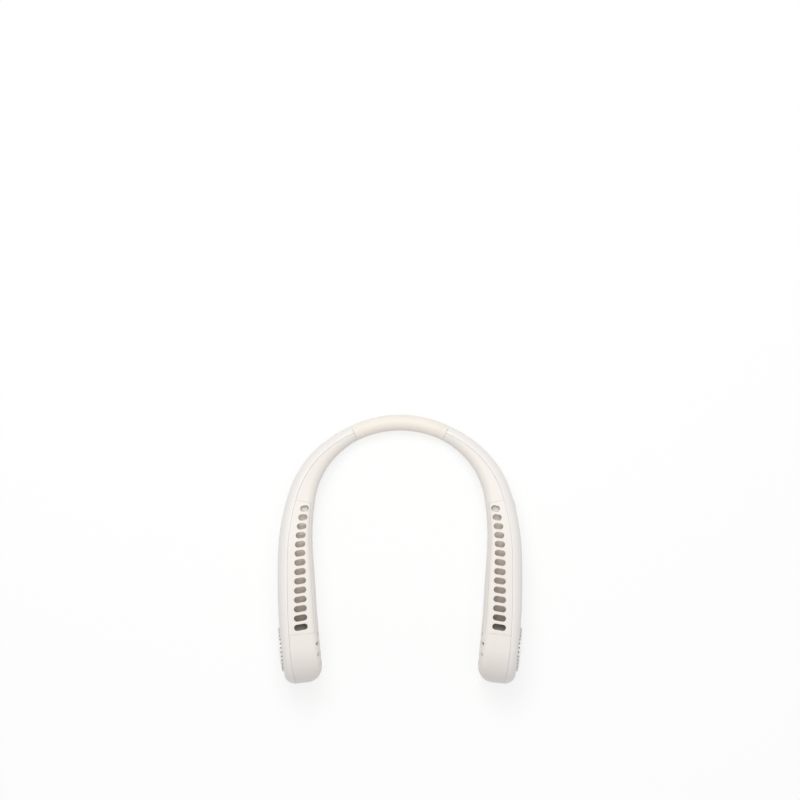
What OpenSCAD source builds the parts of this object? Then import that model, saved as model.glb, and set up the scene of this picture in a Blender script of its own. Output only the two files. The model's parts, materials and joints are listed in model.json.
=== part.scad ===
// Wearable neck fan: two hollow arms on a soft neck band. Each arm holds a centrifugal fan at its free
// end, an air duct under a row of vents, and one battery cell. Left and right are as seen from above, with
// the band at the back. Millimetres. X to the right, Y to the back of the neck, Z up. The origin is at the
// middle of the bounding box, on the surface that the fan lies on.

/* [Neck band] */
// Radius of the band's round section
band_r = 6.2; // [5.2:0.1:7]
// Half length of the soft sleeve, along its curve
band_half_len = 37; // [30:1:44]
// Radius that the band and the crown of the arms are bent to
crown_bend_r = 81.5; // [72:0.5:92]
// Wall of the soft sleeve
sleeve_wall = 2.2; // [1.6:0.1:2.6]
// Length of core that each arm grips
core_grip = 11; // [8:0.5:14]
// Radius of the cable that joins both arms
cable_r = 1.1; // [0.8:0.1:1.4]

/* [Arm path] */
// Length of the first bend, from the middle of the band
crown_len = 61; // [54:1:66]
// Radius of the second bend
shoulder_bend_r = 70; // [62:1:80]
// Length of the second bend
shoulder_len = 41; // [34:1:46]
// Radius of the third bend
upper_bend_r = 180; // [150:1:220]
// Length of the third bend
upper_len = 48; // [44:1:58]
// Radius of the fourth bend, nearly straight
lower_bend_r = 2400; // [1200:100:4000]
// Length of a battery cell that lies in the bends beside the fourth
cell_lap = 30; // [27:1:34]
// Radius of the last bend, which turns the fan inwards
hook_bend_r = 430; // [280:10:450]
// Length of the last bend
hook_len = 25; // [20:1:30]
// Straight run from the last bend to the fan's axis
fan_run = 10.5; // [8:0.5:16]
// Reach of the rounded end, beyond the arm's half depth from the fan's axis
tip_reach = 3.4; // [2.6:0.1:5]

/* [Arm section] */
// Room between a battery cell and the shells, at the fan's width
cell_room = 3.7; // [3.2:0.1:4.6]
// Half depth of an arm at its fan
arm_half_d = 24; // [23.4:0.1:26]
// Wall of the shells
wall = 1.6; // [1.3:0.1:1.8]
// Edge radius on the outer side
outer_edge_r = 7.5; // [6:0.1:7.8]
// Edge radius on the side of the neck
inner_edge_r = 5; // [4:0.1:6]
// Width of the outer shell, seen from above
seam_w = 7.8; // [7:0.1:8.6]
// Narrowing of the outer shell at the fan
seam_drift = 1.2; // [0:0.1:1.6]
// Gap where the two shells meet
seam_gap = 0.2; // [0.1:0.05:0.3]
// Rise of the underside between the band and the fan
arch_h = 2.5; // [1.5:0.1:4]
// Rounding of the tip on the outer side, seen from above
tip_outer_r = 7.8; // [7.4:0.1:9]
// Rounding of the tip on the side of the neck
tip_inner_r = 11.8; // [9:0.1:12]

/* [Vents] */
// Number of vents in each arm
vent_count = 14; // [8:1:15]
// Distance from vent to vent
vent_pitch = 7.1; // [6.6:0.1:7.4]
// Width of a vent along the arm
vent_w = 4.6; // [3.6:0.1:5]
// Length of the vent nearest the band
vent_first_len = 6.6; // [5.8:0.1:7]
// Length of the vent nearest the fan
vent_last_len = 10.4; // [9:0.1:11]
// Distance from the last vent to the fan's axis
vent_to_fan = 16; // [15.5:0.1:22]
// Strip beyond the first vent and beyond the last
strip_margin = 5.2; // [4:0.1:6]
// Depth of the duct at the first vent
duct_first_depth = 6; // [5:0.1:7]
// Room between a battery cell and the duct's floor at the last vent
duct_room = 6.2; // [5:0.1:9]
// Wall of the duct
duct_wall = 1.1; // [0.9:0.1:1.3]

/* [Fan] */
// Room between the fan's housing and the shells, above and below it
housing_room = 2.7; // [2.2:0.1:3.6]
// Half width of the impeller
impeller_half_w = 7.6; // [6.8:0.1:8]
// Number of blades
blade_count = 30; // [18:1:36]
// Radial depth of the blade ring
blade_depth = 4; // [3:0.1:4.6]
// Blade thickness
blade_t = 0.8; // [0.6:0.05:1]
// Radius of the motor's steel cup
cup_r = 7.8; // [7.2:0.1:8]
// Steel thickness of the cup
cup_t = 0.6; // [0.5:0.05:0.7]
// Length of the cup
cup_len = 7.4; // [6.8:0.1:7.6]
// Radius of the motor's shaft
shaft_r = 0.75; // [0.6:0.05:1]
// Radial running clearance of the shaft
shaft_play = 0.03; // [0.02:0.01:0.05]
// Number of stator teeth
tooth_count = 6; // [6:3:9]

/* [Intakes] */
// Overlap of the round cap outside each fan, beyond the intake under it
cap_lap = 2.9; // [2.2:0.1:3.2]
// Thickness of the cap at its middle
cap_t = 1.4; // [1.2:0.1:1.8]
// Air gap between the cap and the outer shell
cap_gap = 0.8; // [0.6:0.1:1.1]
// How far the outer intake is drawn in from the impeller's rim
intake_inset = 2; // [1.6:0.1:3]
// How far the slots on the side of the neck reach round the arm's edge
grille_wrap = 2.6; // [1.6:0.1:2.8]
// Number of slots in that grille
grille_slots = 16; // [10:1:18]
// Width of a slot in that grille
grille_slot_w = 2.6; // [2:0.1:2.9]

/* [Battery and controls] */
// Radius of a battery cell
cell_r = 9.1; // [8.6:0.05:9.2]
// Length of a battery cell
cell_len = 65; // [60:0.5:66]
// Width of the charging socket's shell
socket_w = 8.94; // [8.9:0.01:9]
// Thickness of the charging socket's shell
socket_t = 3.26; // [3.2:0.01:3.3]
// Depth of the charging socket
socket_depth = 7.35; // [6.8:0.05:7.8]
// Gap between the control board and the battery cell
board_gap = 0.8; // [0.6:0.1:2]
// Radius of the power button
button_r = 3.5; // [3:0.1:3.8]
// Travel of the power button
button_travel = 0.5; // [0.3:0.05:0.6]
// Distance from the charging socket to the power button, along the arm
button_back = 10; // [9:0.5:11]

/* [Hidden] */
$fn = 64;

// Fits and small sizes shared by several pieces
fit = 0.15;
seat = 0.3;
overrun = 1;
mould_r = 0.5;

// The cell sets the arm's width and its straight run. The arm's depth sets the fan and the rounded end.
arm_half_w = cell_r + cell_room + wall;
lower_len = cell_len - cell_lap;
impeller_r = arm_half_d - wall - housing_room - 3 * duct_wall;
housing_r = impeller_r + 2 * duct_wall;
housing_out_r = housing_r + duct_wall;
intake_r = impeller_r - intake_inset;
cap_r = intake_r + cap_lap;
tip_len = arm_half_d + tip_reach;

// Plan of the arm: bends one after the other, each [radius, length], from the middle of the band
bends = [
    [crown_bend_r, crown_len],
    [shoulder_bend_r, shoulder_len],
    [upper_bend_r, upper_len],
    [lower_bend_r, lower_len],
    [hook_bend_r, hook_len],
];
bend_len = crown_len + shoulder_len + upper_len + lower_len + hook_len;
fan_at = bend_len + fan_run;

// A place on the path is [x, y, heading], the heading in degrees turned to the right from +X
function bent(p, r, l) = let (turn = l / r * 180 / PI, h = p[2])
    [p[0] + r * (sin(h + turn) - sin(h)), p[1] - r * (cos(h) - cos(h + turn)), h + turn];
function walked(p, s, i) =
    i == len(bends) ? [p[0] + s * cos(p[2]), p[1] - s * sin(p[2]), p[2]]
    : s <= bends[i][1] ? bent(p, bends[i][0], s)
    : walked(bent(p, bends[i][0], bends[i][1]), s - bends[i][1], i + 1);
function place(s) = walked([0, 0, 0], s, 0);

// A point of the arm: s along the path, u outwards from it, z up
function at(s, u, z) = let (p = place(s))
    [p[0] + u * sin(p[2]), p[1] + u * cos(p[2]) + origin_y, z];

// The width grows along the arm like a sine, and so does the depth
width_end_share = 0.895;
width_power = 1.34;
depth_power = 1.3;
shell_at = band_half_len + seam_gap;
function clamp01(t) = max(0, min(1, t));
function grown(s, end, power) =
    pow(sin(90 * clamp01((s - band_half_len) / (end - band_half_len))), power);
function width_share(s) = grown(s, fan_at * width_end_share, width_power);
function depth_share(s) = grown(s, fan_at, depth_power);
function half_w(s) = band_r + (arm_half_w - band_r) * width_share(s);
function half_d(s) = band_r + (arm_half_d - band_r) * depth_share(s);
drift_share = 0.25;
function seam_u(s) = (arm_half_w - seam_w) * width_share(s)
    + seam_drift * pow(clamp01(1 - (fan_at - s) / (fan_at * drift_share)), 2);

// The underside is level at the band and at the fan, and rises by arch_h between them
arch_end_share = 0.89;
function underside(s) = let (t = (s - band_half_len) / (fan_at * arch_end_share - band_half_len))
    t <= 0 || t >= 1 ? 0 : arch_h * pow(sin(180 * t), 2);
function mid_z(s) = underside(s) + half_d(s);
function top_z(s) = underside(s) + 2 * half_d(s);

// A station of the shell: [s, half width outside, half width inside, mid z, half depth, edge radii, seam].
// Stations up to the fan lie at a steady pace, and past it they close the rounded tip. All are drawn in
// by inset.
run_steps = 22;
tip_angles = [20, 38, 53, 65, 74, 79, 82];
function tip_round(t, half, r, inset) = let (c = tip_len - r)
    t <= c ? half - inset : half - r + sqrt(max(0, pow(r - inset, 2) - pow(t - c, 2)));
function run_station(i, inset) = let (s = shell_at + (fan_at - shell_at) * i / run_steps)
    [s, half_w(s) - inset, half_w(s) - inset, mid_z(s), half_d(s) - inset,
     min(outer_edge_r, half_d(s), half_w(s) - seam_u(s) - 2 * seam_gap) - inset,
     min(half_d(s), half_w(s) + seam_u(s), band_r + (inner_edge_r - band_r) * width_share(s)) - inset,
     seam_u(s)];
function tip_station(a, inset) = let (
        t = (tip_len - inset) * sin(a),
        out = tip_round(t, arm_half_w, tip_outer_r, inset),
        in = tip_round(t, arm_half_w, tip_inner_r, inset),
        d = (arm_half_d - inset) * cos(a),
        seam = min(seam_u(fan_at), out - mould_r + inset / 4))
    [fan_at + t, out, in, arm_half_d, d,
     min(outer_edge_r - inset, d, out - seam - 2 * seam_gap), min(inner_edge_r - inset, d), seam];
function stations(inset) = concat(
    [for (i = [0:run_steps]) run_station(i, inset)],
    [for (a = tip_angles) tip_station(a, inset)]);

// Half a section, on the outer side from the top seam round to the bottom seam
edge_steps = 6;
function outer_half(st) = let (c = st[1] - st[5], u = st[7] + seam_gap / 2) concat(
    [at(st[0], u, st[3] + st[4])],
    [for (k = [0:edge_steps]) let (a = 90 - 90 * k / edge_steps)
        at(st[0], c + st[5] * cos(a), st[3] + st[4] - st[5] + st[5] * sin(a))],
    [for (k = [0:edge_steps]) let (a = -90 * k / edge_steps)
        at(st[0], c + st[5] * cos(a), st[3] - st[4] + st[5] + st[5] * sin(a))],
    [at(st[0], u, st[3] - st[4])]);

// Half a section on the side of the neck, from the bottom seam round to the top seam
function inner_half(st) = let (c = -st[2] + st[6], u = st[7] - seam_gap / 2) concat(
    [at(st[0], u, st[3] - st[4])],
    [for (k = [0:edge_steps]) let (a = -90 - 90 * k / edge_steps)
        at(st[0], c + st[6] * cos(a), st[3] - st[4] + st[6] + st[6] * sin(a))],
    [for (k = [0:edge_steps]) let (a = 180 - 90 * k / edge_steps)
        at(st[0], c + st[6] * cos(a), st[3] + st[4] - st[6] + st[6] * sin(a))],
    [at(st[0], u, st[3] + st[4])]);

// A hollow half of the arm between a skin of outer rings and a skin of inner rings, closed at the tip
module half_shell(outer, inner) {
    n = len(outer);
    m = len(outer[0]);
    last = (n - 1) * m;
    skin = n * m;
    quads = concat(
        [for (i = [0:n - 2], j = [0:m - 2])
            [i * m + j, i * m + j + 1, (i + 1) * m + j + 1, (i + 1) * m + j]],
        [for (i = [0:n - 2], j = [0:m - 2])
            [skin + (i + 1) * m + j, skin + (i + 1) * m + j + 1, skin + i * m + j + 1, skin + i * m + j]],
        [for (i = [0:n - 2]) [i * m, (i + 1) * m, skin + (i + 1) * m, skin + i * m]],
        [for (i = [0:n - 2]) let (j = m - 1)
            [skin + i * m + j, skin + (i + 1) * m + j, (i + 1) * m + j, i * m + j]],
        [for (j = [0:m - 2]) [j, skin + j, skin + j + 1, j + 1]],
        [[last, last + m - 1, skin + last + m - 1, skin + last]]);
    tip = concat(
        [for (j = [1:m - 2]) [last, last + j, last + j + 1]],
        [for (j = [1:m - 2]) [skin + last, skin + last + j + 1, skin + last + j]]);
    triangles = concat([for (q = quads) each [[q[0], q[1], q[2]], [q[0], q[2], q[3]]]], tip);
    polyhedron([for (ring = outer) each ring, for (ring = inner) each ring], triangles);
}

// A solid skinned over closed rings of points, with flat ends
module skinned(rings) {
    n = len(rings);
    m = len(rings[0]);
    sides = [for (i = [0:n - 2], j = [0:m - 1]) let (k = (j + 1) % m)
        each [[i * m + j, i * m + k, (i + 1) * m + k], [i * m + j, (i + 1) * m + k, (i + 1) * m + j]]];
    ends = concat(
        [for (j = [1:m - 2]) [0, j + 1, j]],
        [for (j = [1:m - 2]) [(n - 1) * m, (n - 1) * m + j, (n - 1) * m + j + 1]]);
    polyhedron([for (ring = rings) each ring], concat(sides, ends));
}

// The middle of the bounding box in Y lies at zero: the band's back edge against the lowest point of the tip
tip_low = min([for (a = tip_angles) let (st = tip_station(a, 0), p = place(st[0])) p[1] + st[1] * cos(p[2])]);
origin_y = -(band_r + tip_low) / 2;

// Frames that pieces are placed in
fan_z = arm_half_d;
// X runs along the arm to the tip, Y outwards and Z up
module on_arm(s) {
    p = place(s);
    translate([p[0], p[1] + origin_y, 0])
        rotate([0, 0, -p[2]])
            children();
}
// X runs to the tip, Y down, and Z outwards along the fan's axis
module on_fan() {
    translate([0, 0, fan_z])
        on_arm(fan_at)
            rotate([-90, 0, 0])
                children();
}
module left() {
    mirror([1, 0, 0])
        children();
}
module tube(r_out, r_in, z0, z1) {
    translate([0, 0, z0])
        difference() {
            cylinder(r = r_out, h = z1 - z0);
            translate([0, 0, -overrun])
                cylinder(r = r_in, h = z1 - z0 + 2 * overrun);
        }
}
module disc(r, z0, z1) {
    translate([0, 0, z0])
        cylinder(r = r, h = z1 - z0);
}
// A flat slot with round ends: length along X, width along Y
module stadium(length, width) {
    square([length - width, width], center = true);
    for (side = [-1, 1])
        translate([side * (length - width) / 2, 0])
            circle(d = width);
}

// Where the vents lie, and the strip that carries them
first_vent_at = fan_at - vent_to_fan - (vent_count - 1) * vent_pitch;
strip_start = first_vent_at - strip_margin;
strip_end = fan_at - vent_to_fan + strip_margin;
vent_tilt = 10;
vent_first_share = 0.55;
vent_last_share = 0.44;
strip_steps = 16;
function vent_at(i) = first_vent_at + i * vent_pitch;
function vent_len(i) = vent_first_len + (vent_last_len - vent_first_len) * i / (vent_count - 1);
function vent_u(i) = let (
    s = vent_at(i),
    share = vent_first_share + (vent_last_share - vent_first_share) * i / (vent_count - 1)
) seam_u(s) - (seam_u(s) + half_w(s)) * share;
function strip_u(s) = mould_r + wall - half_w(s);

// The strip's outline in plan, grown by a clearance. Its outer edge runs in the seam.
module strip_outline(grow) {
    s0 = strip_start - grow;
    s1 = strip_end + grow;
    ss = [for (i = [0:strip_steps]) s0 + (s1 - s0) * i / strip_steps];
    outer = [for (s = ss) let (p = at(s, seam_u(s), 0)) [p[0], p[1]]];
    inner = [for (i = [strip_steps:-1:0]) let (p = at(ss[i], strip_u(ss[i]) - grow, 0)) [p[0], p[1]]];
    polygon(concat(outer, inner));
}
module strip_block(grow) {
    translate([0, 0, mid_z(strip_start) + wall])
        linear_extrude(height = 2 * arm_half_d)
            strip_outline(grow);
}
// All vents tilt alike, their ends on the side of the neck nearer the band
module vent_slots() {
    for (i = [0:vent_count - 1]) {
        p = at(vent_at(i), vent_u(i), mid_z(vent_at(i)));
        translate(p)
            rotate([0, 0, -vent_tilt])
                linear_extrude(height = 2 * arm_half_d)
                    stadium(vent_len(i), vent_w);
    }
}

// Battery: the straight cell lies on the chord of the curved arm, drawn in towards the neck
cell_gap = 8.8;
cell_end = fan_at - housing_out_r - cell_gap;
cell_start = cell_end - cell_len;
cell_mid = (cell_start + cell_end) / 2;
cell_inset = 0.8;
pad_len = 7;
pad_half_w = 4.8;
pad_inset = 1.5;
pad_places = [-1, 1];
cell_z = underside(cell_start) + wall + seat + cell_r;
module on_cell() {
    on_arm(cell_mid)
        translate([0, -cell_inset, cell_z])
            children();
}

// Duct under the vents. It deepens along the arm, and its floor stays above the battery cell.
duct_start = strip_start + seat;
duct_end = fan_at - housing_out_r - seat;
duct_steps = 14;
duct_drop = 2;
outlet_inset = 6.6;
last_vent_at = vent_at(vent_count - 1);
function duct_ceiling(s) = top_z(s) - wall - fit;
duct_last_depth = duct_ceiling(last_vent_at) - duct_room - cell_z - cell_r;
function duct_depth(s) = duct_first_depth
    + (duct_last_depth - duct_first_depth) * clamp01((s - first_vent_at) / (last_vent_at - first_vent_at));
function duct_floor(s) = duct_ceiling(s) - duct_depth(s);
function duct_ring(s) = let (
        zt = duct_ceiling(s),
        zb = duct_floor(s),
        uo = seam_u(s) - fit,
        ui = duct_wall + wall + fit - half_w(s))
    [at(s, uo, zt), at(s, uo, zb), at(s, ui, zb), at(s, ui, zt - duct_drop),
     at(s, ui + duct_wall, zt - duct_drop), at(s, ui + duct_wall, zb + duct_wall),
     at(s, uo - duct_wall, zb + duct_wall), at(s, uo - duct_wall, zt)];
// Wall that closes the duct towards the band
function duct_end_ring(s) = let (
        zt = duct_ceiling(s) - duct_drop - fit,
        zb = duct_floor(s) + duct_wall - fit,
        uo = seam_u(s) - fit - duct_wall / 2,
        ui = duct_wall * 1.5 + wall + fit - half_w(s))
    [at(s, uo, zt), at(s, uo, zb), at(s, ui, zb), at(s, ui, zt)];

// The control board stands upright beside the charging socket, in line with the seam under it
board_front = 5.2;
socket_at = cell_start - board_gap - board_front;
button_at = socket_at - button_back;
socket_a = at(socket_at - socket_w / 2, seam_u(socket_at - socket_w / 2), 0);
socket_b = at(socket_at + socket_w / 2, seam_u(socket_at + socket_w / 2), 0);
board_heading = atan2(socket_a[1] - socket_b[1], socket_b[0] - socket_a[0]);
board_floor = underside(socket_at);
board_t = 1;
board_back = 27;
board_room = 4.1;
board_h = duct_floor(first_vent_at) - board_room - board_floor - wall - seat;
led_gap = 3;
led_at = socket_at - socket_w / 2 - led_gap;
led_hole_r = 0.65;
module on_board() {
    p = at(socket_at, seam_u(socket_at), board_floor);
    translate(p)
        rotate([0, 0, -board_heading])
            children();
}
// The same frame turned so that Z points outwards, at the button's centre on the board's face
function on_board_y(p) = let (q = at(socket_at, seam_u(socket_at), 0))
    (p[0] - q[0]) * sin(board_heading) + (p[1] - q[1]) * cos(board_heading);
button_wall_y = on_board_y(at(button_at, half_w(button_at), 0));
button_z = wall + board_h - button_r - overrun;
module on_button() {
    on_board()
        translate([button_at - socket_at, 0, button_z])
            rotate([-90, 0, 0])
                children();
}

// Stack of the fan along its axis, zero at the middle of the arm
shell_face = arm_half_w - wall;
corner_drop = outer_edge_r - wall;
screw_r = 0.8;
screw_head_r = 1.4;
screw_head_t = 0.8;
// The housing ends at the shells' edges and at the rounded tip, and leaves room for the screws' heads
housing_end = min(
    shell_face - screw_head_t,
    shell_face - corner_drop
        + sqrt(pow(corner_drop, 2) - pow(max(0, housing_out_r - (arm_half_d - outer_edge_r)), 2)),
    tip_round(housing_out_r, arm_half_w, tip_inner_r, wall),
    tip_round(housing_out_r, arm_half_w, tip_outer_r, wall)) - seat;
plate_top = duct_wall - housing_end;
inlet_r = impeller_r - blade_depth + duct_wall;
base_r = cup_r - 2 * fit;
hub_r = cup_r + 2 * fit;
bush_t = 1.05;
bush_r = shaft_r + bush_t;
tube_t = 0.6;
tube_r = bush_r + tube_t;
base_top = plate_top + duct_wall;
cup_lift = 1.8;
cup_bottom = base_top + cup_lift;
cup_top = cup_bottom + cup_len;
magnet_t = 1;
air_gap = 0.3;
magnet_r = cup_r - cup_t;
stator_r = magnet_r - magnet_t - air_gap;
core_bottom = cup_bottom + cup_t;
coil_room = 2.4;
core_top = cup_top - coil_room;
coil_t = 1;
shoe_t = 0.7;
slot_w = 0.66;
screw_margin = 2.25;
screw_ring_r = base_r - screw_margin;
spoke_w = 1.8;
slot_inner_r = hub_r + spoke_w / 2;
slot_outer_r = arm_half_d - inner_edge_r + grille_wrap;
slot_swirl = 22;
cap_boss_r = 2.6;
cap_hub_r = 5.4;
cap_ribs = 6;
cap_edge_r = 1.1;

// Neck band: every piece follows the crown's bend
band_z = band_r;
bore_r = band_r - sleeve_wall;
core_r = bore_r - cable_r - 2 * fit;
core_shift = bore_r - core_r - fit;
cable_shift = fit + cable_r - bore_r;
cable_half_len = band_half_len + core_grip + seat;
ring_count = 3;
ring_pitch = 2.2;
ring_groove = 0.3;
module along_crown(s0, s1) {
    translate([0, origin_y - crown_bend_r, band_z])
        rotate([0, 0, 90 - s1 / crown_bend_r * 180 / PI])
            rotate_extrude(angle = (s1 - s0) / crown_bend_r * 180 / PI, $fn = 180)
                translate([crown_bend_r, 0])
                    children();
}
module band_sleeve() {
    color("#f2ece1")
        difference() {
            along_crown(-band_half_len, band_half_len)
                difference() {
                    circle(r = band_r);
                    circle(r = bore_r);
                }
            for (side = [-1, 1], k = [1:ring_count]) {
                s = side * (band_half_len - k * ring_pitch);
                along_crown(s - ring_groove, s + ring_groove)
                    difference() {
                        circle(r = band_r + overrun);
                        circle(r = band_r - ring_groove);
                    }
            }
        }
}
module band_core() {
    color("#3b3c3e")
        along_crown(-band_half_len - core_grip, band_half_len + core_grip)
            translate([0, core_shift])
                circle(r = core_r);
}
module link_cable() {
    color("#26282b")
        along_crown(-cable_half_len, cable_half_len)
            translate([0, cable_shift])
                circle(r = cable_r);
}
module band_anchor() {
    color("#c9c5bf")
        along_crown(shell_at + fit, band_half_len + core_grip)
            difference() {
                circle(r = band_r - wall - fit);
                translate([0, core_shift])
                    circle(r = core_r + shaft_play);
                translate([0, cable_shift])
                    circle(r = cable_r + shaft_play);
            }
}

// Openings in the shells of one arm. The right arm also has the socket, the light and the button.
module intake_openings() {
    on_fan()
        translate([0, 0, shell_face - overrun])
            linear_extrude(height = wall + 2 * overrun)
                difference() {
                    circle(r = intake_r);
                    circle(r = cap_hub_r);
                    for (k = [0:2])
                        rotate([0, 0, 120 * k + 30])
                            translate([0, -spoke_w / 2])
                                square([intake_r + overrun, spoke_w]);
                }
    on_fan()
        translate([0, 0, shell_face - overrun])
            cylinder(r = screw_r + fit, h = wall + 2 * overrun);
}
module neck_slots() {
    length = slot_outer_r - slot_inner_r;
    on_fan()
        for (k = [0:grille_slots - 1])
            rotate([0, 0, 360 * (k + 0.5) / grille_slots])
                translate([(slot_outer_r + slot_inner_r) / 2, 0, -arm_half_w - overrun])
                    rotate([0, 0, slot_swirl])
                        linear_extrude(height = wall + outer_edge_r / 2)
                            stadium(length, grille_slot_w);
}
module socket_opening() {
    on_board()
        translate([0, 0, -overrun])
            linear_extrude(height = wall + 3 * overrun)
                stadium(socket_w + 2 * fit, socket_t + 2 * fit);
    on_board()
        translate([led_at - socket_at, 0, -overrun])
            cylinder(r = led_hole_r + shaft_play, h = wall + 3 * overrun);
}
module outer_shell() {
    rings = [for (st = stations(0)) outer_half(st)];
    lining = [for (st = stations(wall)) outer_half(st)];
    difference() {
        half_shell(rings, lining);
        intake_openings();
    }
}
module inner_shell() {
    rings = [for (st = stations(0)) inner_half(st)];
    lining = [for (st = stations(wall)) inner_half(st)];
    difference() {
        half_shell(rings, lining);
        strip_block(fit);
        neck_slots();
    }
}
module vent_strip() {
    rings = [for (st = stations(0)) inner_half(st)];
    lining = [for (st = stations(wall)) inner_half(st)];
    color("#f1e9e2")
        difference() {
            intersection() {
                half_shell(rings, lining);
                strip_block(0);
            }
            vent_slots();
        }
}
module outer_shell_right() {
    color("#ece8e5")
        difference() {
            outer_shell();
            socket_opening();
            on_button()
                cylinder(r = button_r + fit, h = button_wall_y + overrun);
        }
}
module outer_shell_left() {
    color("#ece8e5")
        left()
            outer_shell();
}
module inner_shell_right() {
    color("#f0e8e1")
        difference() {
            inner_shell();
            socket_opening();
        }
}
module inner_shell_left() {
    color("#f0e8e1")
        left()
            inner_shell();
}
module air_duct() {
    ss = [for (i = [0:duct_steps]) duct_start + (duct_end - duct_start) * i / duct_steps];
    color("#8f857b") {
        skinned([for (s = ss) duct_ring(s)]);
        skinned([for (s = [duct_start + fit, duct_start + duct_wall]) duct_end_ring(s)]);
    }
}

// Round cap over the outer intake, on six ribs and a boss
module fan_cap() {
    under = arm_half_w + cap_gap;
    top = under + cap_t;
    color("#fbfaf8")
        on_fan() {
            difference() {
                union() {
                    rotate_extrude()
                        hull() {
                            translate([0, under])
                                square([cap_r - cap_edge_r / 2, cap_t / 4]);
                            translate([cap_r - cap_edge_r / 2, under + cap_edge_r / 2])
                                circle(r = cap_edge_r / 2, $fn = 24);
                            translate([0, top - cap_t / 4])
                                square([cap_r - 3 * cap_edge_r, cap_t / 4]);
                        }
                    disc(cap_boss_r, arm_half_w, under + fit);
                    for (k = [0:cap_ribs - 1])
                        rotate([0, 0, 360 * (k + 0.5) / cap_ribs])
                            translate([cap_boss_r - fit, -duct_wall / 2, arm_half_w + shaft_play])
                                cube([cap_r - cap_boss_r - 2 * cap_edge_r, duct_wall, cap_gap + fit]);
                }
                disc(screw_r + shaft_play, arm_half_w - overrun, under + cap_t / 2);
            }
        }
}
module cap_screw() {
    color("#9a9c9f")
        on_fan() {
            disc(screw_r, shell_face - shaft_play, arm_half_w + cap_gap + cap_t / 3);
            difference() {
                disc(2 * screw_r, shell_face - screw_head_t - shaft_play, shell_face - shaft_play);
                disc(screw_r / 2, shell_face - 2 * screw_head_t, shell_face - screw_head_t / 2);
            }
        }
}

// Blower housing: a round wall with a spider for the motor on the neck's side, and a lid with the other inlet
// The outlet faces the vents. The wall beside it guides the air over into the duct.
module fan_housing() {
    color("#d8d3cc")
        on_fan() {
            difference() {
                tube(housing_out_r, housing_r, -housing_end, housing_end - duct_wall - shaft_play);
                translate([outlet_inset - housing_out_r, -housing_out_r - overrun, plate_top])
                    cube([housing_out_r - outlet_inset, housing_out_r, 2 * housing_end - 3 * duct_wall]);
            }
            difference() {
                translate([0, 0, -housing_end])
                    linear_extrude(height = duct_wall)
                        difference() {
                            circle(r = housing_r + fit);
                            difference() {
                                circle(r = inlet_r);
                                circle(r = hub_r);
                                for (k = [0:2])
                                    rotate([0, 0, 120 * k + 90])
                                        translate([0, -spoke_w / 2])
                                            square([housing_r, spoke_w]);
                            }
                        }
                for (k = [0:2])
                    rotate([0, 0, 120 * k])
                        translate([screw_ring_r, 0, -housing_end - overrun])
                            cylinder(r = screw_r + fit, h = duct_wall + 2 * overrun);
            }
            tube(hub_r, hub_r - duct_wall, shaft_play - shell_face, -housing_end + fit);
        }
}
module housing_lid() {
    color("#d8d3cc")
        on_fan() {
            tube(housing_out_r, inlet_r, housing_end - duct_wall, housing_end);
            tube(intake_r + duct_wall, intake_r, housing_end - fit, shell_face - fit);
        }
}

// Impeller: forward-curved blades on both sides of a web, around a hub that holds the rotor
blade_steps = 5;
blade_sweep = 13;
function blade_line(offset) = [for (k = [0:blade_steps]) let (
        r = impeller_r - blade_depth + (blade_depth - fit) * k / blade_steps,
        a = blade_sweep * pow(k / blade_steps, 2) + offset / r * 180 / PI)
    [r * cos(a), r * sin(a)]];
module blades() {
    for (k = [0:blade_count - 1])
        rotate([0, 0, 360 * k / blade_count]) {
            near = blade_line(-blade_t / 2);
            far = blade_line(blade_t / 2);
            polygon(concat(near, [for (i = [blade_steps:-1:0]) far[i]]));
        }
}
module impeller() {
    color("#5d6064")
        on_fan() {
            translate([0, 0, -impeller_half_w])
                linear_extrude(height = 2 * impeller_half_w)
                    blades();
            for (z = [-impeller_half_w, impeller_half_w - blade_t])
                tube(impeller_r, impeller_r - blade_depth / 4, z, z + blade_t);
            tube(impeller_r - blade_depth / 2, cup_r, cup_top - 2 * blade_t, cup_top - blade_t);
            tube(cup_r + duct_wall, cup_r, cup_bottom, cup_top);
            tube(cup_r + duct_wall, shaft_r, cup_top, cup_top + duct_wall);
            tube(tube_r, shaft_r, cup_top + duct_wall - fit, cup_top + 2 * duct_wall);
        }
}
module rotor_cup() {
    color("#b9bcc0")
        on_fan() {
            tube(cup_r, magnet_r, cup_bottom, cup_top);
            tube(magnet_r + cup_t / 2, shaft_r, cup_top - cup_t, cup_top);
        }
}
module rotor_magnet() {
    color("#3a3a3c")
        on_fan()
            tube(magnet_r, magnet_r - magnet_t, core_bottom - cup_t / 2, core_top + cup_t);
}
module motor_shaft() {
    color("#d5d7da")
        on_fan()
            disc(shaft_r, base_top - duct_wall / 2 + seat, cup_top + 2 * duct_wall);
}
module motor_base() {
    color("#cfc9c1")
        on_fan()
            difference() {
                union() {
                    disc(base_r, plate_top + shaft_play, base_top);
                    disc(tube_r, base_top - fit, core_top + cup_t / 2);
                }
                disc(bush_r, base_top, cup_top);
                disc(shaft_r + fit, base_top - duct_wall / 2, base_top + fit);
                for (k = [0:2])
                    rotate([0, 0, 120 * k])
                        translate([screw_ring_r, 0, 0])
                            disc(screw_r, plate_top - overrun, base_top - duct_wall / 4);
            }
}
module motor_screws() {
    color("#9a9c9f")
        on_fan()
            for (k = [0:2])
                rotate([0, 0, 120 * k])
                    translate([screw_ring_r, 0, 0]) {
                        disc(screw_r - shaft_play, -housing_end - fit, base_top - duct_wall / 2);
                        disc(screw_head_r, -housing_end - screw_head_t, -housing_end - shaft_play);
                    }
}
module motor_board() {
    color("#2f6b46")
        on_fan()
            tube(base_r - fit, tube_r + fit, base_top + shaft_play, base_top + screw_head_t);
}
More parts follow.
